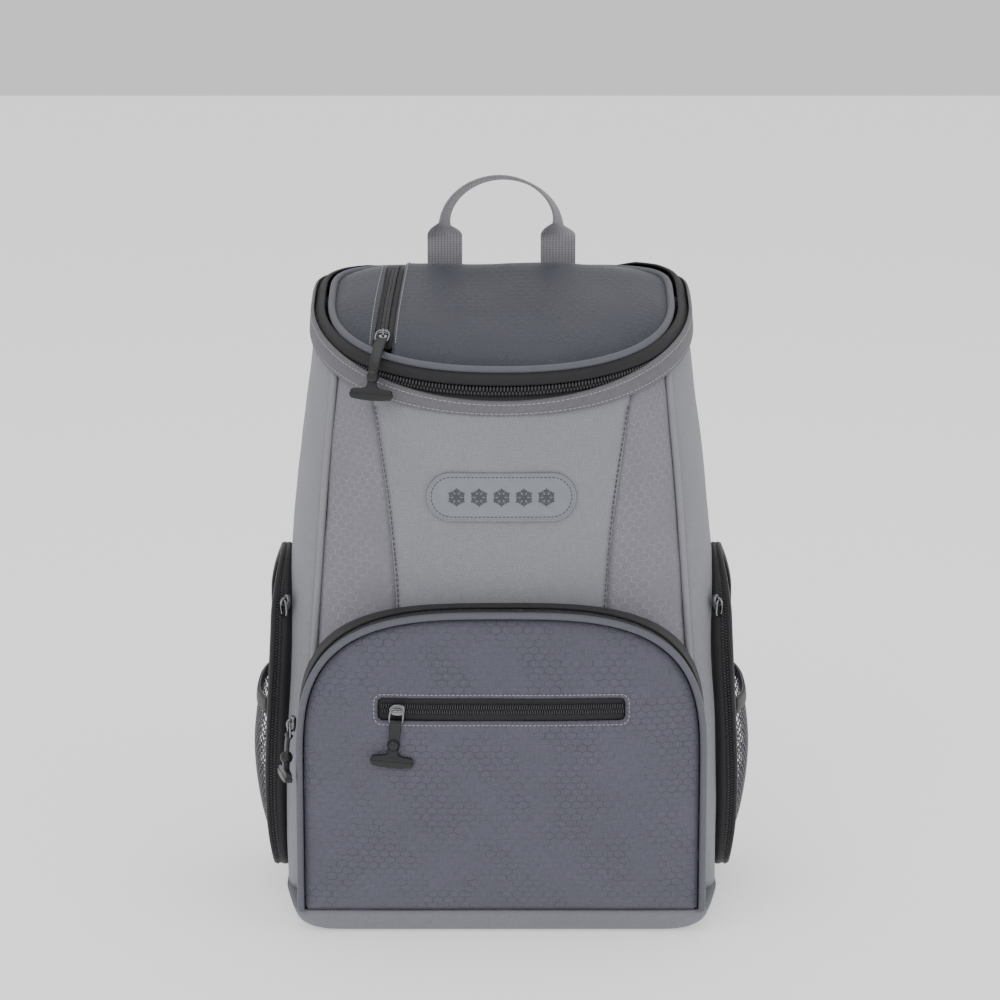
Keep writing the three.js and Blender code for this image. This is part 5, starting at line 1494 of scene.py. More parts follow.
@dataclass
class GrabHandle:
    """The webbing handle at the back: flat feet, a turn, and an arch."""

    form: BodyForm
    width: float = 25
    thickness: float = 2.2
    span: float = 81
    foot: float = 397
    springing: float = 452
    twist: float = 8
    top: float = 495
    power: float = 1.95
    rake: float = -4
    turn: float = 0.8
    tip: float = 0.2
    ease: float = 0.6
    steps: int = 22
    hem_stand: float = 1.4
    gap: float = 0.8
    box_height: float = 22
    box_margin: float = 6
    box_rise: float = 15

    def build(self) -> None:
        """Builds the band along its route."""
        half = self.span / 2
        leg = [(half, z, 0.0) for z in np.linspace(self.foot, self.springing, 12)]
        leg += [(half, self.springing + self.twist * t, self.turn * t) for t in np.linspace(0, 1, 9)[1:]]
        spring = self.springing + self.twist
        last = self.steps - 1
        x, y = Arc(half, self.top - self.thickness / 2 - spring, self.power).at(np.linspace(1, 0, self.steps))
        turns = [self.turn + (1 - self.turn) * (k / last) ** self.ease for k in range(self.steps)]
        arch = [(a, spring + b, turned) for a, b, turned in zip(x, y, turns, strict=True)]
        right = np.array([*leg, *arch[1:]])
        left = right[:-1][::-1] * [-1, 1, -1] + [0, 0, 2]
        route = np.vstack([right, left])
        ahead = unit(np.gradient(route[:, :2], axis=0))
        stand = self.form.back + self.hem_stand + self.gap + self.thickness / 2
        lean = self.rake * np.clip((route[:, 1] - self.springing) / (self.top - self.springing), 0, 1)
        middle = np.stack([route[:, 0], stand + lean, route[:, 1]], -1)
        along = np.stack([ahead[:, 0], np.zeros(len(ahead)), ahead[:, 1]], -1)
        angle = route[:, 2] * math.pi / 2
        flat = np.cross([0.0, 1.0, 0.0], along)
        edge_on = unit(np.array([0.0, 1.0, -self.tip]))
        wide = unit(flat * np.cos(angle)[:, None] + edge_on * np.sin(angle)[:, None])
        thin = np.cross(along, wide)
        section = rounded_section(20, self.width / 2, self.thickness / 2, 0.35, 0.6)
        grid = np.array([middle + wide * a + thin * b for a, b in section]).transpose(1, 0, 2)
        piece = swept("grab_handle_webbing", grid)
        dress(piece, WEBBING, ["grab_handle"])
        self.box_stitches(stand)
        LOG.info("handle")

    def box_stitches(self, stand: float) -> None:
        """Box of stitches at the foot of each leg."""
        rows = []
        for side in (-1, 1):
            box = rounded_box(self.width - self.box_margin, self.box_height, 0.5, 2.5)
            x, z = box[:, 0] + side * self.span / 2, box[:, 1] + self.foot + self.box_rise
            points = np.stack([x, np.full_like(x, stand + self.thickness / 2 + 0.1), z], -1)
            rows.append(facing(points, BACKWARD, True))
        dress(stitches_on("handle_stitches", rows, 3.0, 0.7, 0.36), THREAD)


def swept(name: str, grid: Array) -> bpy.types.Object:
    """Makes a closed bar from sections that are rings of points, with its ends shut."""
    count, sides = grid.shape[:2]
    lengths = run_lengths(grid[:, 0])
    around = run_lengths(np.vstack([grid[count // 2], grid[count // 2][:1]]))
    faces, uvs = [], []
    for i in range(count - 1):
        for s in range(sides):
            t = (s + 1) % sides
            faces.append((i * sides + s, (i + 1) * sides + s, (i + 1) * sides + t, i * sides + t))
            u, w = (around[s], around[s + 1]), (lengths[i], lengths[i + 1])
            uvs += [(u[0], w[0]), (u[0], w[1]), (u[1], w[1]), (u[1], w[0])]
    for first, way in ((0, 1), ((count - 1) * sides, -1)):
        faces.append(tuple(first + s for s in range(sides))[::way])
        uvs += [(around[s], 0) for s in range(sides)]
    piece = new_piece(name, grid.reshape(-1, 3), faces, np.array(uvs))
    turn_out(piece)
    return piece


def turn_out(piece: bpy.types.Object) -> None:
    """Turns the faces of a closed piece outward."""
    mesh = piece.data
    volume = 0.0
    for face in mesh.polygons:
        corners = [mesh.vertices[v].co for v in face.vertices]
        for b, c in zip(corners[1:-1], corners[2:], strict=True):
            volume += corners[0].dot(b.cross(c))
    if volume < 0:
        mesh.flip_normals()


@dataclass
class FrontPocket:
    """The arched front pocket: its panel with the zip across, its piping, its zip and its side walls."""

    form: BodyForm
    half: float = 139
    top: float = 225.5
    middle: float = 115
    arch_power: float = 3.2
    foot_power: float = 70
    depth_top: float = 20
    depth_foot: float = 29
    crown: float = 13
    crown_power: float = 2.6
    flare: float = 2.4
    tape: float = 5.2
    chain: float = 5.0
    zip_end: float = 130
    slot_length: float = 166
    slot_height: float = 15
    slot_z: float = 161.5
    slot_corner: float = 3
    gap: float = 0.4

    def arch(self, grow: float) -> Oval:
        """Outline of the pocket, grown from the middle of its piping."""
        form = self.form
        half = self.half - form.piping + grow
        fore = self.top - form.piping - self.middle + grow
        return Oval(half, fore, self.arch_power, self.middle - form.wall_foot, self.foot_power)

    def rim_y(self, z: Array) -> Array:
        """Depth of the piping at a height."""
        share = (z - self.form.wall_foot) / (self.top - self.form.wall_foot)
        return self.form.front - (self.depth_foot + (self.depth_top - self.depth_foot) * share)

    def face(self, x: Array, z: Array, out: "Array | float" = 0.0) -> Array:
        """Points over the pocket's crowned panel."""
        share = np.minimum(self.edge.share(x, z - self.middle), 1)
        y = self.rim_y(z) - self.crown * (1 - share**self.crown_power)
        return np.stack([x, y - out, z], -1)

    def __post_init__(self) -> None:
        """Prepares the outlines."""
        self.edge = self.arch(-self.form.piping - self.gap)
        self.line = self.arch(0)

    def wall(self, rounds: Array, behind: "Array | float", out: float = 0.0) -> Array:
        """Points of the pocket's wall: behind the piping, and out from it. Round 2 is its foot."""
        rounds = np.asarray(rounds, float)
        way = np.abs(rounds)
        side = np.where(rounds < 0, -1.0, 1.0)
        grow = out + self.flare * np.asarray(behind) / self.depth_foot
        arch = self.line.out(np.clip(rounds, -1, 1), grow)
        straight = self.middle + (self.form.wall_foot - self.middle) * (way - 1)
        z = np.where(way <= 1, self.middle + arch[..., 1], straight)
        x = np.where(way <= 1, arch[..., 0], side * (self.line.half + grow))
        return np.stack([x, self.rim_y(z) + behind, z], -1)

    def wall_end(self, rounds: Array, out: float = 0.0) -> Array:
        """Points where the wall meets the body."""
        p = self.wall(rounds, self.depth_foot, out)
        p[..., 1] = self.form.skin_y(-1, p[..., 0], p[..., 2])
        return p

    def round_at(self, z: float) -> float:
        """Place round the arch at a height."""
        if z >= self.middle:
            return self.line.round_along(z - self.middle)
        return 1 + (self.middle - z) / (self.middle - self.form.wall_foot)

    def slot_outline(self, grow: float = 0.0, step: float = 3.0) -> Array:
        """Outline of the slot for the zip across the panel."""
        length, height = self.slot_length + 2 * grow, self.slot_height + 2 * grow
        box = rounded_box(length, height, self.slot_corner + grow, step)
        return box + [0, self.slot_z]

    def soft_face(self, x: Array, z: Array) -> Array:
        """Points of the panel's cloth: sunk at its seams, turned in at the slot, with soft folds."""
        flat = np.stack([x, z], -1)
        rounds = all_round(200)
        edge = self.edge.at(rounds) + [0, self.middle]
        from_edge = distance_to(flat, edge)
        from_slot = distance_to(flat, self.slot_outline())
        sink = 2.4 * np.exp(-((from_edge / 3.0) ** 1.4)) + 1.0 * np.exp(-((from_slot / 0.9) ** 2))
        lift = 0.7 * np.exp(-(((from_slot - 3.2) / 2.6) ** 2))
        place = np.stack([x, z, np.zeros_like(x)], -1)
        folds = ripple(place, 58.0, 1.4, 41) + ripple(place * [0.5, 1.4, 1], 26.0, 0.3, 43)
        return self.face(x, z, lift - sink + folds * np.minimum(from_edge / 15, 1))

    def build(self) -> None:
        """Builds the panel, the piping, the zips and the side walls."""
        rounds = all_round(400)
        outline = evened(self.edge.at(rounds)[::-1] + [0, self.middle], CUT_STEP, closed=True)
        panel = cut_sheet("front_pocket_cloth", outline, [self.slot_outline()], self.soft_face, 4.6, 2.0)
        dress(panel, POCKET, ["pocket_panel"], 0.4)
        foot = self.round_at(self.form.wall_foot + 0.5)
        rounds = np.linspace(-foot, foot, 200)
        points = self.wall(rounds, 0)
        rope = facing(points, FORWARD)
        cord = cord_on("pocket_piping_cord", rope, self.form.piping, 14)
        dress(cord, DARK_PIPED, ["pocket_piping"])
        self.zip_round(foot)
        self.zip_across()
        LOG.info("front pocket")

    def zip_round(self, foot: float) -> None:
        """The zip over the arch and the plain walls under its ends."""
        stop = self.round_at(self.zip_end)
        rounds = np.linspace(-stop, stop, 150)
        first = self.form.piping * 0.7
        chain_from = self.form.piping + self.gap + self.tape
        front = [(first, -1.2), (first + 1.6, 0.3), (chain_from - 1, 0.4), (chain_from + 0.3, -0.1)]
        under = [(chain_from, -0.7), (chain_from + self.chain + 0.6, -0.7)]
        bands = {"pocket_front_tape": (front, ["pocket_zip_front_tape"]), "pocket_chain_tape": (under, [])}
        for name, (profile, nodes) in bands.items():
            grid = np.array([self.wall(rounds, behind, out) for behind, out in profile])[::-1]
            dress(grid_sheet(name, grid, TAPE_THICK), TAPE, nodes)
        along = chain_from + self.chain / 2
        middle = self.wall(rounds, along + 0.2, -0.1)
        normals = unit(self.wall(rounds, along, 1) - self.wall(rounds, along, 0))
        dress(teeth_on("pocket_teeth", Route(middle, normals), 5.0), TEETH, ["pocket_zip_chain"])
        back_from = chain_from + self.chain + self.gap
        tape = self.wall_cloth("pocket_back_tape", rounds, back_from, 0.2)
        dress(tape, TAPE, ["pocket_zip_back_tape"])
        for hand, side in SIDES.items():
            rounds = np.sort(np.linspace(stop, foot, 24) * side)
            piece = self.wall_cloth(f"pocket_wall_{hand}", rounds, 1.2, 0.6)
            dress(piece, GREY, [f"pocket_gusset_{hand}"])
            declare_sheet(piece)

    def wall_cloth(self, name: str, rounds: Array, start: float, out: float) -> bpy.types.Object:
        """Cloth of the wall from behind the piping to the body, at a distance out from it."""
        near, far = self.wall(rounds, start, out), self.wall_end(rounds, out)
        shares = np.linspace(0, 1, 7)[:, None, None]
        grid = (near[None] * (1 - shares) + far[None] * shares)[::-1]
        return grid_sheet(name, grid, 1.2)

    def zip_across(self) -> None:
        """Tape, teeth and stitches of the zip across the panel."""
        x = np.linspace(-self.slot_length / 2 - 1, self.slot_length / 2 + 1, 60)
        rise = np.linspace(-self.slot_height / 2 - 1, self.slot_height / 2 + 1, 9)
        grid = np.array([self.face(x, np.full_like(x, self.slot_z + r), -1.9) for r in rise])
        dress(grid_sheet("front_zip_cloth", grid, TAPE_THICK), TAPE, ["front_zip_tape"])
        line = np.linspace(-self.slot_length / 2 + 2, self.slot_length / 2 - 1, 60)
        middle = self.face(line, np.full_like(line, self.slot_z), -1.2)
        route = facing(middle, FORWARD)
        dress(teeth_on("front_zip_teeth", route, 7.4, 1.6), TEETH, ["front_zip_chain"])
        outline = self.slot_outline(2.6, 2.0)
        points = self.soft_face(outline[:, 0], outline[:, 1]) - [0, 0.25, 0]
        row = facing(points, FORWARD, True)
        dress(stitches_on("front_zip_stitches", [row], 2.9, 0.7, 0.36), THREAD)


@dataclass
class Badge:
    """Soft patch on the front with a raised rim, a stitched groove and a row of plain snow crystals."""

    form: BodyForm
    length: float = 101
    height: float = 34
    middle: float = 300
    lift: float = 1.4
    rim: float = 1.1
    groove: float = 3.4
    crystals: int = 5
    crystal: float = 6.2
    pitch: float = 15.0
    points: int = 150
    rim_sink: float = 0.15
    groove_sink: float = 0.35
    crystal_lift: float = 0.2
    bar: float = 0.75
    branch_from: float = 0.52
    branch: float = 0.4
    branch_turn: float = math.pi / 3.4

    def over(self, outline: Array, out: float) -> Array:
        """Points over the front for points of the patch."""
        return self.form.on_face(-1, outline[:, 0], outline[:, 1] + self.middle, out)

    def ring(self, inset: float, out: float) -> Route:
        """Route round the patch at a distance inside its edge."""
        outline = stadium(self.length, self.height, inset, self.points)
        points = self.over(outline, out)
        return Route(points, unit(self.over(outline, self.lift + 1) - points), True)

    def build(self) -> None:
        """Builds the patch, its rim, its stitches and the crystals."""

        def patch(x: Array, z: Array) -> Array:
            """Points of the patch's face."""
            inner = distance_to(np.stack([x, z], -1), stadium(self.length, self.height, self.groove))
            edge = distance_to(np.stack([x, z], -1), stadium(self.length, self.height))
            out = self.lift - 0.5 * np.exp(-((inner / 0.8) ** 2)) - 0.9 * np.exp(-((edge / 0.5) ** 2))
            return self.form.on_face(-1, x, z + self.middle, out)

        outline = stadium(self.length, self.height, count=self.points)
        piece = cut_sheet("badge_patch", outline, [], patch, 3.0, 1.0)
        dress(piece, BADGE_RUBBER, ["badge"])
        rim = cord_on("badge_rim", self.ring(self.rim, self.lift - self.rim_sink), self.bar, 10)
        dress(rim, BADGE_RUBBER)
        row = self.ring(self.groove, self.lift - self.groove_sink)
        groove = stitches_on("badge_stitches", [row], 2.7, 0.8, 0.32)
        dress(groove, DARK_THREAD)
        self.snow()
        LOG.info("badge")

    def snow(self) -> None:
        """Row of six-armed snow crystals in low relief."""
        starts, ends = [], []
        for k in range(self.crystals):
            centre = np.array([(k - (self.crystals - 1) / 2) * self.pitch, 0.0])
            for arm in range(6):
                turn = math.pi / 6 + arm * math.pi / 3
                way = np.array([math.cos(turn), math.sin(turn)])
                starts.append(centre - way * 0.2)
                ends.append(centre + way * self.crystal)
                for side in (-1, 1):
                    lean = turn + side * self.branch_turn
                    base = centre + way * self.crystal * self.branch_from
                    starts.append(base)
                    tip = np.array([math.cos(lean), math.sin(lean)]) * self.crystal * self.branch
                    ends.append(base + tip)
        level = self.lift + self.crystal_lift
        low, high = self.over(np.array(starts), level), self.over(np.array(ends), level)
        ups = np.tile([0.0, -1.0, 0.05], (len(low), 1))
        dress(short_bars("badge_crystals", low, high, ups, self.bar, 0.7), MARK_RUBBER)


@dataclass
class SidePocket:
    """One side pocket: its face, its black zip wall, its teeth and the net sleeve over it."""

    form: BodyForm
    hand: str
    middle_y: float = 6
    half: float = 55
    bottom: float = 20
    middle: float = 118
    top: float = 243
    rise: float = 12.5
    sag: float = 2.2
    turn_in: float = 3.2
    net_margin: float = 5
    net_bottom: float = 28
    net_top: float = 147
    net_belly: float = 12
    net_pitch: float = 3.0
    net_size: tuple[float, float] = (106, 118)
    strand: float = 0.85
    zip_stop: float = 5 / 3

    def __post_init__(self) -> None:
        """Prepares the outline and the tables."""
        self.side = SIDES[self.hand]
        self.centre = self.middle_y + (self.form.front + 86)
        self.outline = Oval(self.half, self.top - self.middle, 2.5, self.middle - self.bottom, 5)
        self.rise_at = table_curve((0.0, 0.2, 0.5, 0.82, 0.92, 1.0), (0.62, 0.95, 1.0, 0.97, 0.72, 0.36))
        self.belly_at = table_curve((0.0, 0.3, 0.65, 1.0), (0.0, 0.75, 1.0, 0.6))

    def off(self, z: Array) -> Array:
        """How far the edge of the face stands off the body at a height."""
        return self.rise * self.rise_at(np.clip((z - self.bottom) / (self.top - self.bottom), 0, 1))

    def face(self, y: Array, z: Array, out: "Array | float" = 0.0) -> Array:
        """Points over the pocket's face."""
        share = np.minimum(self.outline.share(y - self.centre, z - self.middle), 1)
        return self.form.on_side(self.side, y, z, self.off(z) - self.sag * (1 - share**3) + out)

    def soft_face(self, y: Array, z: Array) -> Array:
        """Points of the face's cloth: sunk at its edge, with soft folds."""
        edge = self.outline.at(all_round(160)) + [self.centre, self.middle]
        from_edge = distance_to(np.stack([y, z], -1), edge)
        folds = ripple(np.stack([y, z, y * 0], -1), 40.0, 1.0, 51 + self.side)
        sink = np.exp(-((from_edge / 1.8) ** 1.5))
        return self.face(y, z, folds * np.minimum(from_edge / 12, 1) - sink)

    def rail(self, rounds: Array, share: float, out: float = 0.0, over: float = 0.0) -> Array:
        """Points of the edge wall at a share of its height off the body, or over its top."""
        p = self.outline.out(rounds, out)
        z = self.middle + self.outline.at(rounds)[:, 1]
        level = 0.3 + (self.off(z) - 0.3) * share + over
        return self.form.on_side(self.side, self.centre + p[:, 0], self.middle + p[:, 1], level)

    def build(self) -> None:
        """Builds the face, the wall, the teeth and the net."""
        hand = self.hand
        inner = self.outline.out(all_round(400), -self.turn_in)
        outline = evened(inner[::-1] + [self.centre, self.middle], CUT_STEP, closed=True)
        face = cut_sheet(f"side_pocket_cloth_{hand}", outline, [], self.soft_face, 5.0, 1.6, self.side < 0)
        dress(face, GREY, [f"side_pocket_panel_{hand}"])
        declare_sheet(face)
        rounds = all_round(150)
        profile = [(0.0, 0.2, 0.0), (0.3, 0.9, 0.0), (0.52, 0.7, 0.0), (0.55, 0.2, 0.0), (0.98, 0.2, 0.0)]
        profile += [(1.0, 0.8, 0.2), (1.0, 0.3, 1.3), (1.0, -1.6, 1.6), (1.0, -self.turn_in - 1, 0.6)]
        grid = np.array([self.rail(rounds, *step) for step in profile])
        if self.side < 0:
            grid = grid[::-1]
        wall = grid_sheet(f"side_pocket_tape_{hand}", grid, 1.0, True)
        dress(wall, TAPE, [f"side_pocket_zip_tape_{hand}"])
        rounds = np.linspace(-self.zip_stop, self.zip_stop, 160)
        points = self.rail(rounds, 0.77, 0.6)
        normals = unit(self.rail(rounds, 0.77, 1.6) - points)
        teeth = teeth_on(f"side_pocket_teeth_{hand}", Route(points, normals), 5.4, 2.0)
        dress(teeth, TEETH, [f"side_pocket_zip_chain_{hand}"])
        self.net()
        LOG.info("side pocket %s", hand)

    def net_point(self, i: Array, j: Array, out: float = 0.0) -> Array:
        """Points of the sleeve: i runs across it and j up it."""
        z = self.net_bottom + (self.net_top - self.net_bottom) * j
        half = self.outline.half_at(z - self.middle) - self.net_margin
        y = self.centre + half * (2 * i - 1)
        belly = self.net_belly * self.belly_at(j) * (1 - np.abs(2 * i - 1) ** 2.6)
        return self.face(y, z, 1.0 + belly + out)

    def net(self) -> None:
        """Diamond net and the hem along its top."""
        columns, rows = (2 * int(size / self.net_pitch / 2) for size in self.net_size)
        number, places, faces = {}, [], []

        def corner(i: int, j: int) -> int:
            """Number of a corner of the net."""
            if (i, j) not in number:
                number[i, j] = len(places)
                places.append((i / columns, j / rows))
            return number[i, j]

        for i in range(columns + 1):
            for j in range(rows + 1):
                if (i + j) % 2 == 0:
                    around = [(i - 1, j), (i, j - 1), (i + 1, j), (i, j + 1)]
                    kept = [corner(a, b) for a, b in around if 0 <= a <= columns and 0 <= b <= rows]
                    if len(kept) >= 3:
                        faces.append(kept[:: self.side])
        where = np.array(places)
        places_on_net = (where * self.net_size)[np.concatenate(faces)]
        points = self.net_point(where[:, 0], where[:, 1])
        piece = new_piece(f"net_sleeve_{self.hand}", points, faces, places_on_net)
        wire = piece.modifiers.new("Strands", "WIREFRAME")
        wire.thickness = self.strand * MM
        wire.use_boundary = True
        dress(piece, NET, [f"mesh_pocket_{self.hand}"])
        across = np.linspace(0, 1, 40)
        grid = []
        for z, out in ((-10, 0.6), (-9.6, 1.5), (-7, 1.9), (-3, 1.9), (-0.4, 1.6), (0, 0.6)):
            share = 1 + z / (self.net_top - self.net_bottom)
            grid.append(self.net_point(across, np.full_like(across, share), out))
        grid = np.array(grid) if self.side > 0 else np.array(grid)[::-1]
        hem = grid_sheet(f"net_hem_{self.hand}", grid, 1.0)
        dress(hem, TAPE, [f"mesh_pocket_hem_{self.hand}"])
        declare_sheet(hem)


# Sliders and pulls


@dataclass
class Slider:
    """A metal slider on a zip, with its wire loop and, where it has one, its rubber pull.

    Attributes:
        name: Start of the names of its nodes.
        seat: Where it stands on the teeth.
        outward: Direction away from the zip.
        run: Direction of the zip, towards the slider's nose.
        hang: Direction in which the loop hangs.
        route: Points of the pull from the loop's end, as distances outward and along the hanging direction.
    """

    name: str
    seat: Sequence[float]
    outward: Sequence[float]
    run: Sequence[float]
    hang: Sequence[float]
    route: Sequence[tuple[float, float]] | None = None
    length: float = 10.5
    width: float = 8.2
    height: float = 3.0
    wire: float = 0.75
    loop: float = 11.0
    loop_width: float = 9.0
    bridge_wire: float = 0.95
    bridge_rise: float = 2.6
    strap_half: float = 4.1
    strap_taper: float = 1.0
    strap_thick: float = 1.35
    knuckle_thick: float = 2.3
    knuckle_share: float = 0.12
    ball_radius: float = 4.3
    ball_back: float = 10.5
    bar_half: float = 2.1
    lip_half: float = 2.55

    def axes(self, forward: Sequence[float]) -> tuple[Array, Array, Array]:
        """Outward, forward and sideways directions, square to each other."""
        out = unit(np.array(self.outward, float))
        ahead = np.array(forward, float)
        ahead = unit(ahead - out * float(ahead @ out))
        return out, ahead, np.cross(out, ahead)

    def build(self) -> None:
        """Builds the slider's body, its bridge and loop, and the pull."""
        out, ahead, side = self.axes(self.run)
        seat = np.array(self.seat, float)
        shape = [(-0.5, 0.33), (-0.42, 0.42), (-0.1, 0.5), (0.2, 0.47), (0.42, 0.3), (0.5, 0.12)]
        shape = shape + [(a, -b) for a, b in reversed(shape)]
        outline = np.array([(a * self.length, b * self.width) for a, b in shape])
        place = standing(seat, ahead, side, out)
        body = plate(f"{self.name}_slider_body", outline, place, 0.0, self.height, 0.7)
        dress(body, METAL, [f"{self.name}_slider"])
        turn = np.linspace(-1, 1, 13)
        rises = [self.height - 0.3 + self.bridge_rise * (1 - t**4) for t in turn]
        steps = [self.length * 0.3 * t for t in turn]
        bridge = [seat + ahead * step + out * rise for step, rise in zip(steps, rises, strict=True)]
        route = facing(np.array(bridge), side)
        dress(cord_on(f"{self.name}_bridge", route, self.bridge_wire, 10), METAL)
        self.pulls(seat + out * (self.height + 1.2))

    def pulls(self, eye: Array) -> None:
        """Wire loop from the bridge, and the pull on it."""
        out, down, side = self.axes(self.hang)
        half = self.loop_width / 2
        ring = []
        for t in np.linspace(0, 2 * math.pi, 40, endpoint=False):
            c, s = math.cos(t), math.sin(t)
            drop = self.loop / 2 - math.copysign(abs(c) ** 0.7, c) * self.loop / 2 - 1.2
            ring.append((math.copysign(abs(s) ** 0.55, s) * half, drop))
        points = np.array([eye + side * a + down * b - out * 0.25 * max(b, 0) * 0.35 for a, b in ring])
        route = facing(points, out, True)
        dress(cord_on(f"{self.name}_loop", route, self.wire, 8), METAL)
        if self.route is not None:
            foot = eye + down * (self.loop - 1.6) - out * 0.9
            self.rubber(foot, out, down, side)

    def rubber(self, foot: Array, out: Array, down: Array, side: Array) -> None:
        """Knuckle, strap, ball and cross bar of the pull, as one piece."""
        line = np.array([foot + out * a + down * b for a, b in self.route])
        fine = smooth_line(line, 26)
        ahead = unit(np.gradient(fine, axis=0))
        thin = unit(np.cross(ahead, side))
        share = np.linspace(0, 1, len(fine))
        half = self.strap_half - self.strap_taper * share
        thick = np.where(share < self.knuckle_share, self.knuckle_thick, self.strap_thick)
        section = rounded_section(16, 1.0, 1.0, 0.4, 0.7)
        grid = np.array([fine + side * (half * a)[:, None] + thin * (thick * b)[:, None] for a, b in section])
        grid = grid.transpose(1, 0, 2)
        dress(swept(f"{self.name}_pull_strap", grid), RUBBER, [f"{self.name}_pull"])
        end, along, face = fine[-1], ahead[-1], thin[-1]
        back = end - along * self.ball_back
        dress(ball(f"{self.name}_pull_ball", back, self.ball_radius, along), RUBBER)
        bar = [(-3.1, -7.5), (-3.2, -5.4), (-4.2, -3.9), (-6.4, -3.2), (-12.6, -2.5), (-13.9, -1.7)]
        bar = np.array([*bar, (-14.3, 0.6), (-13.8, 2.9), (-12.4, 3.9), (-7.0, 4.6), (0.0, 4.9)])
        outline = np.vstack([bar, (bar * [-1, 1])[-2::-1]])
        place = standing(end, side, along, face)
        half = self.bar_half
        dress(plate(f"{self.name}_pull_bar", outline, place, -half, half, 0.9), RUBBER)
        lip = np.array([(x, y) for x, y in outline if y > 1.2 or abs(x) > 13.2]) * [1.02, 1.03]
        lip = lip[lip[:, 1] > 0.4]
        half = self.lip_half
        dress(plate(f"{self.name}_pull_lip", lip, place, -half, half, 0.5), RUBBER)


def smooth_line(points: Array, count: int) -> Array:
    """A line's points on a smooth curve through them."""
    lengths = run_lengths(points)
    curves = [table_curve(lengths / lengths[-1], points[:, k]) for k in range(3)]
    at = np.linspace(0, 1, count)
    return np.stack([curve(at) for curve in curves], -1)


def ball(
    name: str, centre: Array, radius: float, axis: Array, rings: int = 14, sides: int = 24
) -> bpy.types.Object:
    """Makes a moulded ball, slightly longer along its axis."""
    side = unit(np.cross(axis, [0.13, 0.7, 0.2]))
    over = np.cross(axis, side)
    grid = []
    for t in np.linspace(0.04, math.pi - 0.04, rings):
        turn = np.linspace(0, 2 * math.pi, sides, endpoint=False)
        ring = np.outer(np.cos(turn), side) + np.outer(np.sin(turn), over)
        grid.append(centre + axis * (-math.cos(t) * radius * 1.04) + ring * math.sin(t) * radius)
    return swept(name, np.array(grid))


def standing(origin: Array, first: Array, second: Array, up: Array) -> Callable[[Array, float], Array]:
    """Gives the function that puts an outline's points in space.

    Args:
        origin: Where the outline's origin lies.
        first: Direction of its first coordinate.
        second: Direction of its second coordinate.
        up: Direction of its height.

    Returns:
        A function of the outline's points and a height.
    """

    def place(points: Array, height: float) -> Array:
        """Points in space of an outline's points at a height."""
        return origin + np.outer(points[:, 0], first) + np.outer(points[:, 1], second) + up * height

    return place


def plate(
    name: str, outline: Array, place: Callable[[Array, float], Array], low: float, high: float, bevel: float
) -> bpy.types.Object:
    """Makes a plate with rounded edges from an outline.

    Args:
        name: The piece's name.
        outline: Its outline, in order.
        place: Gives points in space for points of the outline at a height.
        low: Height of its back.
        high: Height of its face.
        bevel: Radius of its edges.

    Returns:
        The plate.
    """
    ahead = np.roll(outline, -1, 0) - np.roll(outline, 1, 0)
    inward = unit(np.stack([-ahead[:, 1], ahead[:, 0]], -1))
    after = np.roll(outline, -1, axis=0)
    turned = np.sum(outline[:, 0] * after[:, 1] - after[:, 0] * outline[:, 1]) < 0
    inward = -inward if turned else inward
    rings = []
    turns = [t * math.pi / 2 for t in np.linspace(0, 1, 4)]
    for turn in turns:
        rings.append((outline + inward * bevel * (1 - math.sin(turn)), low + bevel * (1 - math.cos(turn))))
    for turn in turns:
        rings.append((outline + inward * bevel * (1 - math.cos(turn)), high - bevel * (1 - math.sin(turn))))
    grid = np.array([place(p, h) for p, h in rings])
    return swept(name, grid)


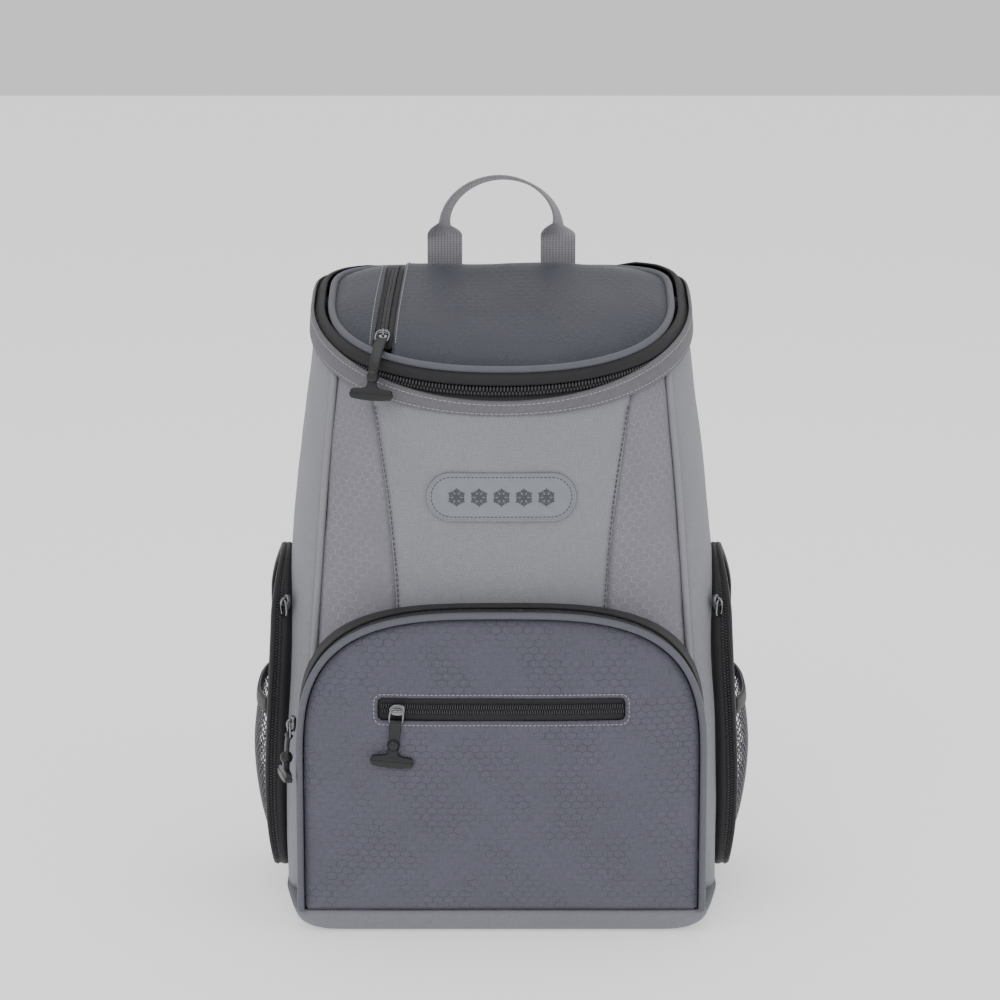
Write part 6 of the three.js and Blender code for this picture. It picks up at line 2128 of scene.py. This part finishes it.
@dataclass
class Sliders:
    """All the sliders of the bag."""

    form: BodyForm
    lid: Lid
    pocket: FrontPocket
    front_zip_x: float = -70.0
    lid_zip_behind: float = 46
    edge_drop: float = 5

    def build(self) -> None:
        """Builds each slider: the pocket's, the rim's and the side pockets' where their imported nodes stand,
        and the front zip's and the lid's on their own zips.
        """
        self.front_zip()
        self.pocket_zip()
        self.lid_zip()
        self.rim_zip()
        for hand, side in SIDES.items():
            low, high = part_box(f"side_pocket_{hand}_slider")
            middle = np.array([(low[k] + high[k]) / 2 / MM for k in range(3)])
            seat = middle - [side * 1.5, 0, 0]
            Slider(f"side_pocket_{hand}", seat, (side, -0.55, 0.1), (0, -0.3, 1), (0, -0.2, -1)).build()
        LOG.info("sliders")

    def front_zip(self) -> None:
        """Slider near the left end of the zip across the front pocket."""
        seat = self.pocket.face(np.array([self.front_zip_x]), np.array([self.pocket.slot_z]), -0.4)[0]
        route = [(0.0, -2.4), (0.9, 0.2), (0.7, 5.0), (0.5, 14.0), (1.0, 25.0)]
        Slider("front_zip", seat, (0, -1, 0.02), (-1, 0, 0), (-0.1, 0, -1), route).build()

    def pocket_zip(self) -> None:
        """Slider on the front pocket's own zip, on the wearer's left."""
        low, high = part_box("pocket_zip_slider")
        y = (low[1] + high[1]) / 2 / MM
        seat = (low[0] / MM + 4.2, y, high[2] / MM - self.edge_drop)
        route = [(0.0, -2.4), (0.9, 0.2), (1.2, 5.0), (1.0, 14.0), (1.0, 24.5)]
        Slider("pocket_zip", seat, (-1, -0.25, 0.1), (0, 0, -1), (0.0, -0.05, -1), route).build()

    def lid_zip(self) -> None:
        """Slider of the lid's pocket, whose pull lies over the piping and hangs in front of the rim."""
        y = self.form.front + self.lid_zip_behind
        x = float(self.lid.zip_x(np.array([y]))[0])
        here = self.lid.top(np.array([x, x]), np.array([y - 5, y + 5]), -0.6)
        rise = here[1] - here[0]
        outward = (0.0, -float(rise[2]), float(rise[1]))
        slope = math.atan2(rise[2], rise[1])
        route = []
        for forward, drop in ((-2.0, 0.0), (2, 0.3), (9, 2.4), (17, 6.4), (25, 12.5), (30, 20), (31.5, 29.5)):
            out = forward * math.sin(slope) - drop * math.cos(slope)
            route.append((out, forward * math.cos(slope) + drop * math.sin(slope)))
        Slider("lid_pocket_zip", here.mean(0), outward, (0, -1, 0), (-0.12, -1, 0), route).build()

    def rim_zip(self) -> None:
        """Slider at the back end of the rim's zip."""
        low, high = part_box("rim_zip_slider")
        seat = ((low[0] + high[0]) / 2 / MM, low[1] / MM + 0.4, high[2] / MM - self.edge_drop)
        route = [(0.0, -2.4), (0.9, 0.2), (0.8, 5.0), (0.6, 14.0), (1.0, 24.5)]
        Slider("rim_zip", seat, (0.05, 1, 0), (1, 0, 0.1), (0, 0, -1), route).build()


@dataclass
class ShoulderStraps:
    """Yoke, padded straps, and what is at the foot of each."""

    form: BodyForm
    top: float = 396
    yoke_height: float = 34
    yoke_width: float = 134
    width: float = 58
    end_width: float = 44
    thickness: float = 11
    top_x: float = 37
    length: float = 245
    spread: float = 54
    stand_off: float = 20
    anchor_x: float = 122
    anchor_z: float = 44

    WEB: ClassVar[float] = 25
    WEB_LIFT: ClassVar[float] = 2.4
    BUCKLE: ClassVar[tuple[float, float, float]] = (34, 26, 4)
    BUCKLE_DROP: ClassVar[float] = 13.4
    BUCKLE_WIRE: ClassVar[float] = 2.0
    BAR_HALF: ClassVar[float] = 15
    BAR_RISE: ClassVar[float] = 4.5
    BAR_WIRE: ClassVar[float] = 1.7
    TAB_HALF: ClassVar[float] = 17
    TAB_RISE: ClassVar[float] = 13

    def __post_init__(self) -> None:
        """Prepares the strap's route."""
        heights = (0.0, 0.2, 0.42, 0.64, 0.84, 1.0)
        self.out_at = table_curve(heights, (0, 0.1, 0.36, 0.64, 0.85, 1.0))
        self.off_at = table_curve(heights, (0.02, 0.45, 0.92, 1.0, 0.6, 0.14))

    def middle(self, side: int, t: Array) -> Array:
        """Middle line of a strap at a share of its length."""
        x = side * (self.top_x + self.spread * self.out_at(t))
        z = self.top - self.yoke_height - 0.4 - self.length * t
        y = self.form.skin_y(1, x, z) + 0.4 + self.thickness / 2 + self.stand_off * self.off_at(t)
        return np.stack([x, y, z], -1)

    def build(self) -> None:
        """Builds the yoke, then each strap with its buckle, webbing and tab."""
        across = np.linspace(-self.yoke_width / 2, self.yoke_width / 2, 40)
        x, z = np.meshgrid(across, np.linspace(self.top - self.yoke_height, self.top, 12))
        grid = self.form.on_face(1, x[:, ::-1], z, 2.6)
        grid = grid + grid_normals(grid) * seam_dip(grid, 1.6, 2.0)[..., None]
        yoke = dress(grid_sheet("strap_yoke_cloth", grid, 2.0), GREY, ["strap_yoke"])
        declare_sheet(yoke)
        box = rounded_box(self.yoke_width - 7, self.yoke_height - 7, 1.0, 2.5)
        box = box + [0, self.top - self.yoke_height / 2]
        points = self.form.on_face(1, box[:, 0], box[:, 1], 2.75)
        row = facing(points, BACKWARD, True)
        dress(stitches_on("yoke_stitches", [row]), THREAD)
        for hand, side in SIDES.items():
            self.strap(hand, side)
        LOG.info("shoulder straps")

    def strap(self, hand: str, side: int) -> None:
        """One padded strap with bound edges."""
        t = np.linspace(0, 1, 60)
        middle = self.middle(side, t)
        half = (self.width + (self.end_width - self.width) * t**2) / 2
        ahead = unit(np.gradient(middle, axis=0))
        across = np.tile([1.0, 0.0, 0.0], (len(t), 1))
        across = unit(across - ahead * np.sum(across * ahead, 1)[:, None])
        over = np.cross(across, ahead)
        swell = np.minimum(1, 0.55 + np.minimum(t, 1 - t) * 9)
        grid = []
        for a, b in rounded_section(32, 1.0, self.thickness / 2, 0.5, 0.75):
            grid.append(middle + across * (half * a)[:, None] + over * (b * swell)[:, None])
        grid = np.array(grid).transpose(1, 0, 2)
        piece = swept(f"shoulder_strap_cloth_{hand}", grid)
        dress(piece, STRAP_CLOTH, [f"shoulder_strap_{hand}"], 0.6)
        for way in (-1, 1):
            line = middle + across * (way * half)[:, None]
            edge = "inner" if way * side < 0 else "outer"
            dress(cord_on(f"strap_edge_{hand}_{edge}", Route(line, over), 1.9, 10), PIPED)
        rows = [Route(middle + across * (way * (half - 5.5))[:, None] + over * 4.9, over) for way in (-1, 1)]
        dress(stitches_on(f"strap_stitches_{hand}", rows), THREAD)
        self.foot(hand, side, middle[-1])

    def foot(self, hand: str, side: int, end: Array) -> None:
        """Buckle, webbing and tab at a strap's foot."""
        half_web = self.WEB / 2
        buckle = end - [0, 0, self.BUCKLE_DROP]
        outline = rounded_box(*self.BUCKLE, 2.0)
        points = np.stack([outline[:, 0], np.zeros(len(outline)), outline[:, 1]], -1) + buckle
        loop = facing(points, BACKWARD, True)
        buckle_frame = cord_on(f"buckle_frame_{hand}", loop, self.BUCKLE_WIRE, 10)
        dress(buckle_frame, PLASTIC, [f"strap_buckle_{hand}"])
        half, rise = self.BAR_HALF, self.BAR_RISE
        for k, z in enumerate((-rise, rise)):
            bar = np.array([buckle + [-half, 0.4, z], buckle + [0, 0.8, z], buckle + [half, 0.4, z]])
            route = facing(bar, BACKWARD)
            dress(cord_on(f"buckle_bar_{hand}_{k}", route, self.BAR_WIRE, 8), PLASTIC)
        anchor = np.array([side * self.anchor_x, 0.0, self.anchor_z + self.BUCKLE_DROP])
        t = np.linspace(0, 1, 16)
        foot = buckle - [0, 0, self.BUCKLE_DROP]
        line = np.outer(1 - t, foot) + np.outer(t, [anchor[0], buckle[1], anchor[2]])
        skin = self.form.skin_y(1, np.abs(line[:, 0]) - half_web, line[:, 2]) + self.WEB_LIFT
        line[:, 1] = np.maximum(buckle[1] + (skin[-1] - buckle[1]) * t, skin)
        section = rounded_section(16, half_web, 1.0, 0.35, 0.6)
        grid = np.array([line + [a, b, 0.0] for a, b in section]).transpose(1, 0, 2)
        dress(swept(f"strap_tail_{hand}", grid), WEBBING, [f"strap_webbing_{hand}"])
        across = np.linspace(-self.TAB_HALF, self.TAB_HALF, 14) + side * self.anchor_x
        x, z = np.meshgrid(across, np.linspace(-self.TAB_RISE, self.TAB_RISE, 12) + self.anchor_z)
        grid = self.form.on_face(1, x[:, ::-1], z, 2.8)
        grid = grid + grid_normals(grid) * seam_dip(grid, 1.8, 1.6)[..., None]
        tab = grid_sheet(f"strap_tab_cloth_{hand}", grid, 1.8)
        dress(tab, GREY, [f"strap_tab_{hand}"])
        declare_sheet(tab)


@dataclass
class Studio:
    """Pale floor, soft lights and the camera at the photograph's angle."""

    elevation_deg: float = 13
    distance: float = 2.1
    sensor: float = 36
    focal: float = 3.003 * 36
    target: tuple[float, float, float] = (-0.001, 0.0061, 0.2782)
    floor_half: float = 6000
    sky: float = 0.85
    aim: tuple[float, float, float] = (0, 0, 0.25)

    def build(self) -> None:
        """Builds the floor, the lights, the sky and the camera."""
        paint = Paint("floor")
        paint.set(base_color=(0.9, 0.9, 0.9, 1.0), roughness=0.9)
        paint.set(emission_color=(1.0, 1.0, 1.0, 1.0), emission_strength=0.5)
        corners = np.array([(-1, -1, 0), (1, -1, 0), (1, 1, 0), (-1, 1, 0)]) * self.floor_half
        floor = new_piece("floor", corners, [(0, 1, 2, 3)])
        floor.data.materials.append(paint.material)
        world = bpy.data.worlds.new("sky")
        bpy.context.scene.world = world
        world.use_nodes = True
        world.node_tree.nodes["Background"].inputs[0].default_value = (1.0, 1.0, 1.0, 1.0)
        world.node_tree.nodes["Background"].inputs[1].default_value = self.sky
        self.lamp("key", (-1.1, -2.2, 2.3), 2.0, 20)
        self.lamp("fill", (1.9, -1.6, 1.2), 1.8, 8)
        self.lamp("top", (0.1, 0.4, 2.6), 1.6, 10)
        self.camera()

    def lamp(self, name: str, place: Sequence[float], size: float, power: float) -> None:
        """Square lamp that faces the bag."""
        data = bpy.data.lights.new(name, "AREA")
        data.size = size
        data.energy = power
        lamp = bpy.data.objects.new(name, data)
        lamp.location = place
        lamp.rotation_euler = (Vector(self.aim) - Vector(place)).to_track_quat("-Z", "Y").to_euler()
        bpy.context.collection.objects.link(lamp)

    def camera(self) -> None:
        """Camera at the photograph's angle."""
        data = bpy.data.cameras.new("camera")
        data.lens = self.focal
        data.sensor_width = self.sensor
        camera = bpy.data.objects.new("camera", data)
        rise = math.radians(self.elevation_deg)
        target = Vector(self.target)
        camera.location = target + Vector((0, -math.cos(rise), math.sin(rise))) * self.distance
        camera.rotation_euler = (target - camera.location).to_track_quat("-Z", "Y").to_euler()
        bpy.context.collection.objects.link(camera)
        bpy.context.scene.camera = camera


def main() -> None:
    """Builds the bag, piece by piece, and the studio round it."""
    logging.basicConfig(level=logging.INFO, format="%(name)s: %(message)s")
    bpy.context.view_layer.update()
    form = BodyForm()
    Walls(form).build()
    BaseTray(form).build()
    Rim(form).build()
    lid = Lid(form)
    lid.build()
    GrabHandle(form).build()
    pocket = FrontPocket(form)
    pocket.build()
    Badge(form).build()
    for hand in SIDES:
        SidePocket(form, hand).build()
    Sliders(form, lid, pocket).build()
    ShoulderStraps(form).build()
    Studio().build()


if __name__ == "__main__":
    main()
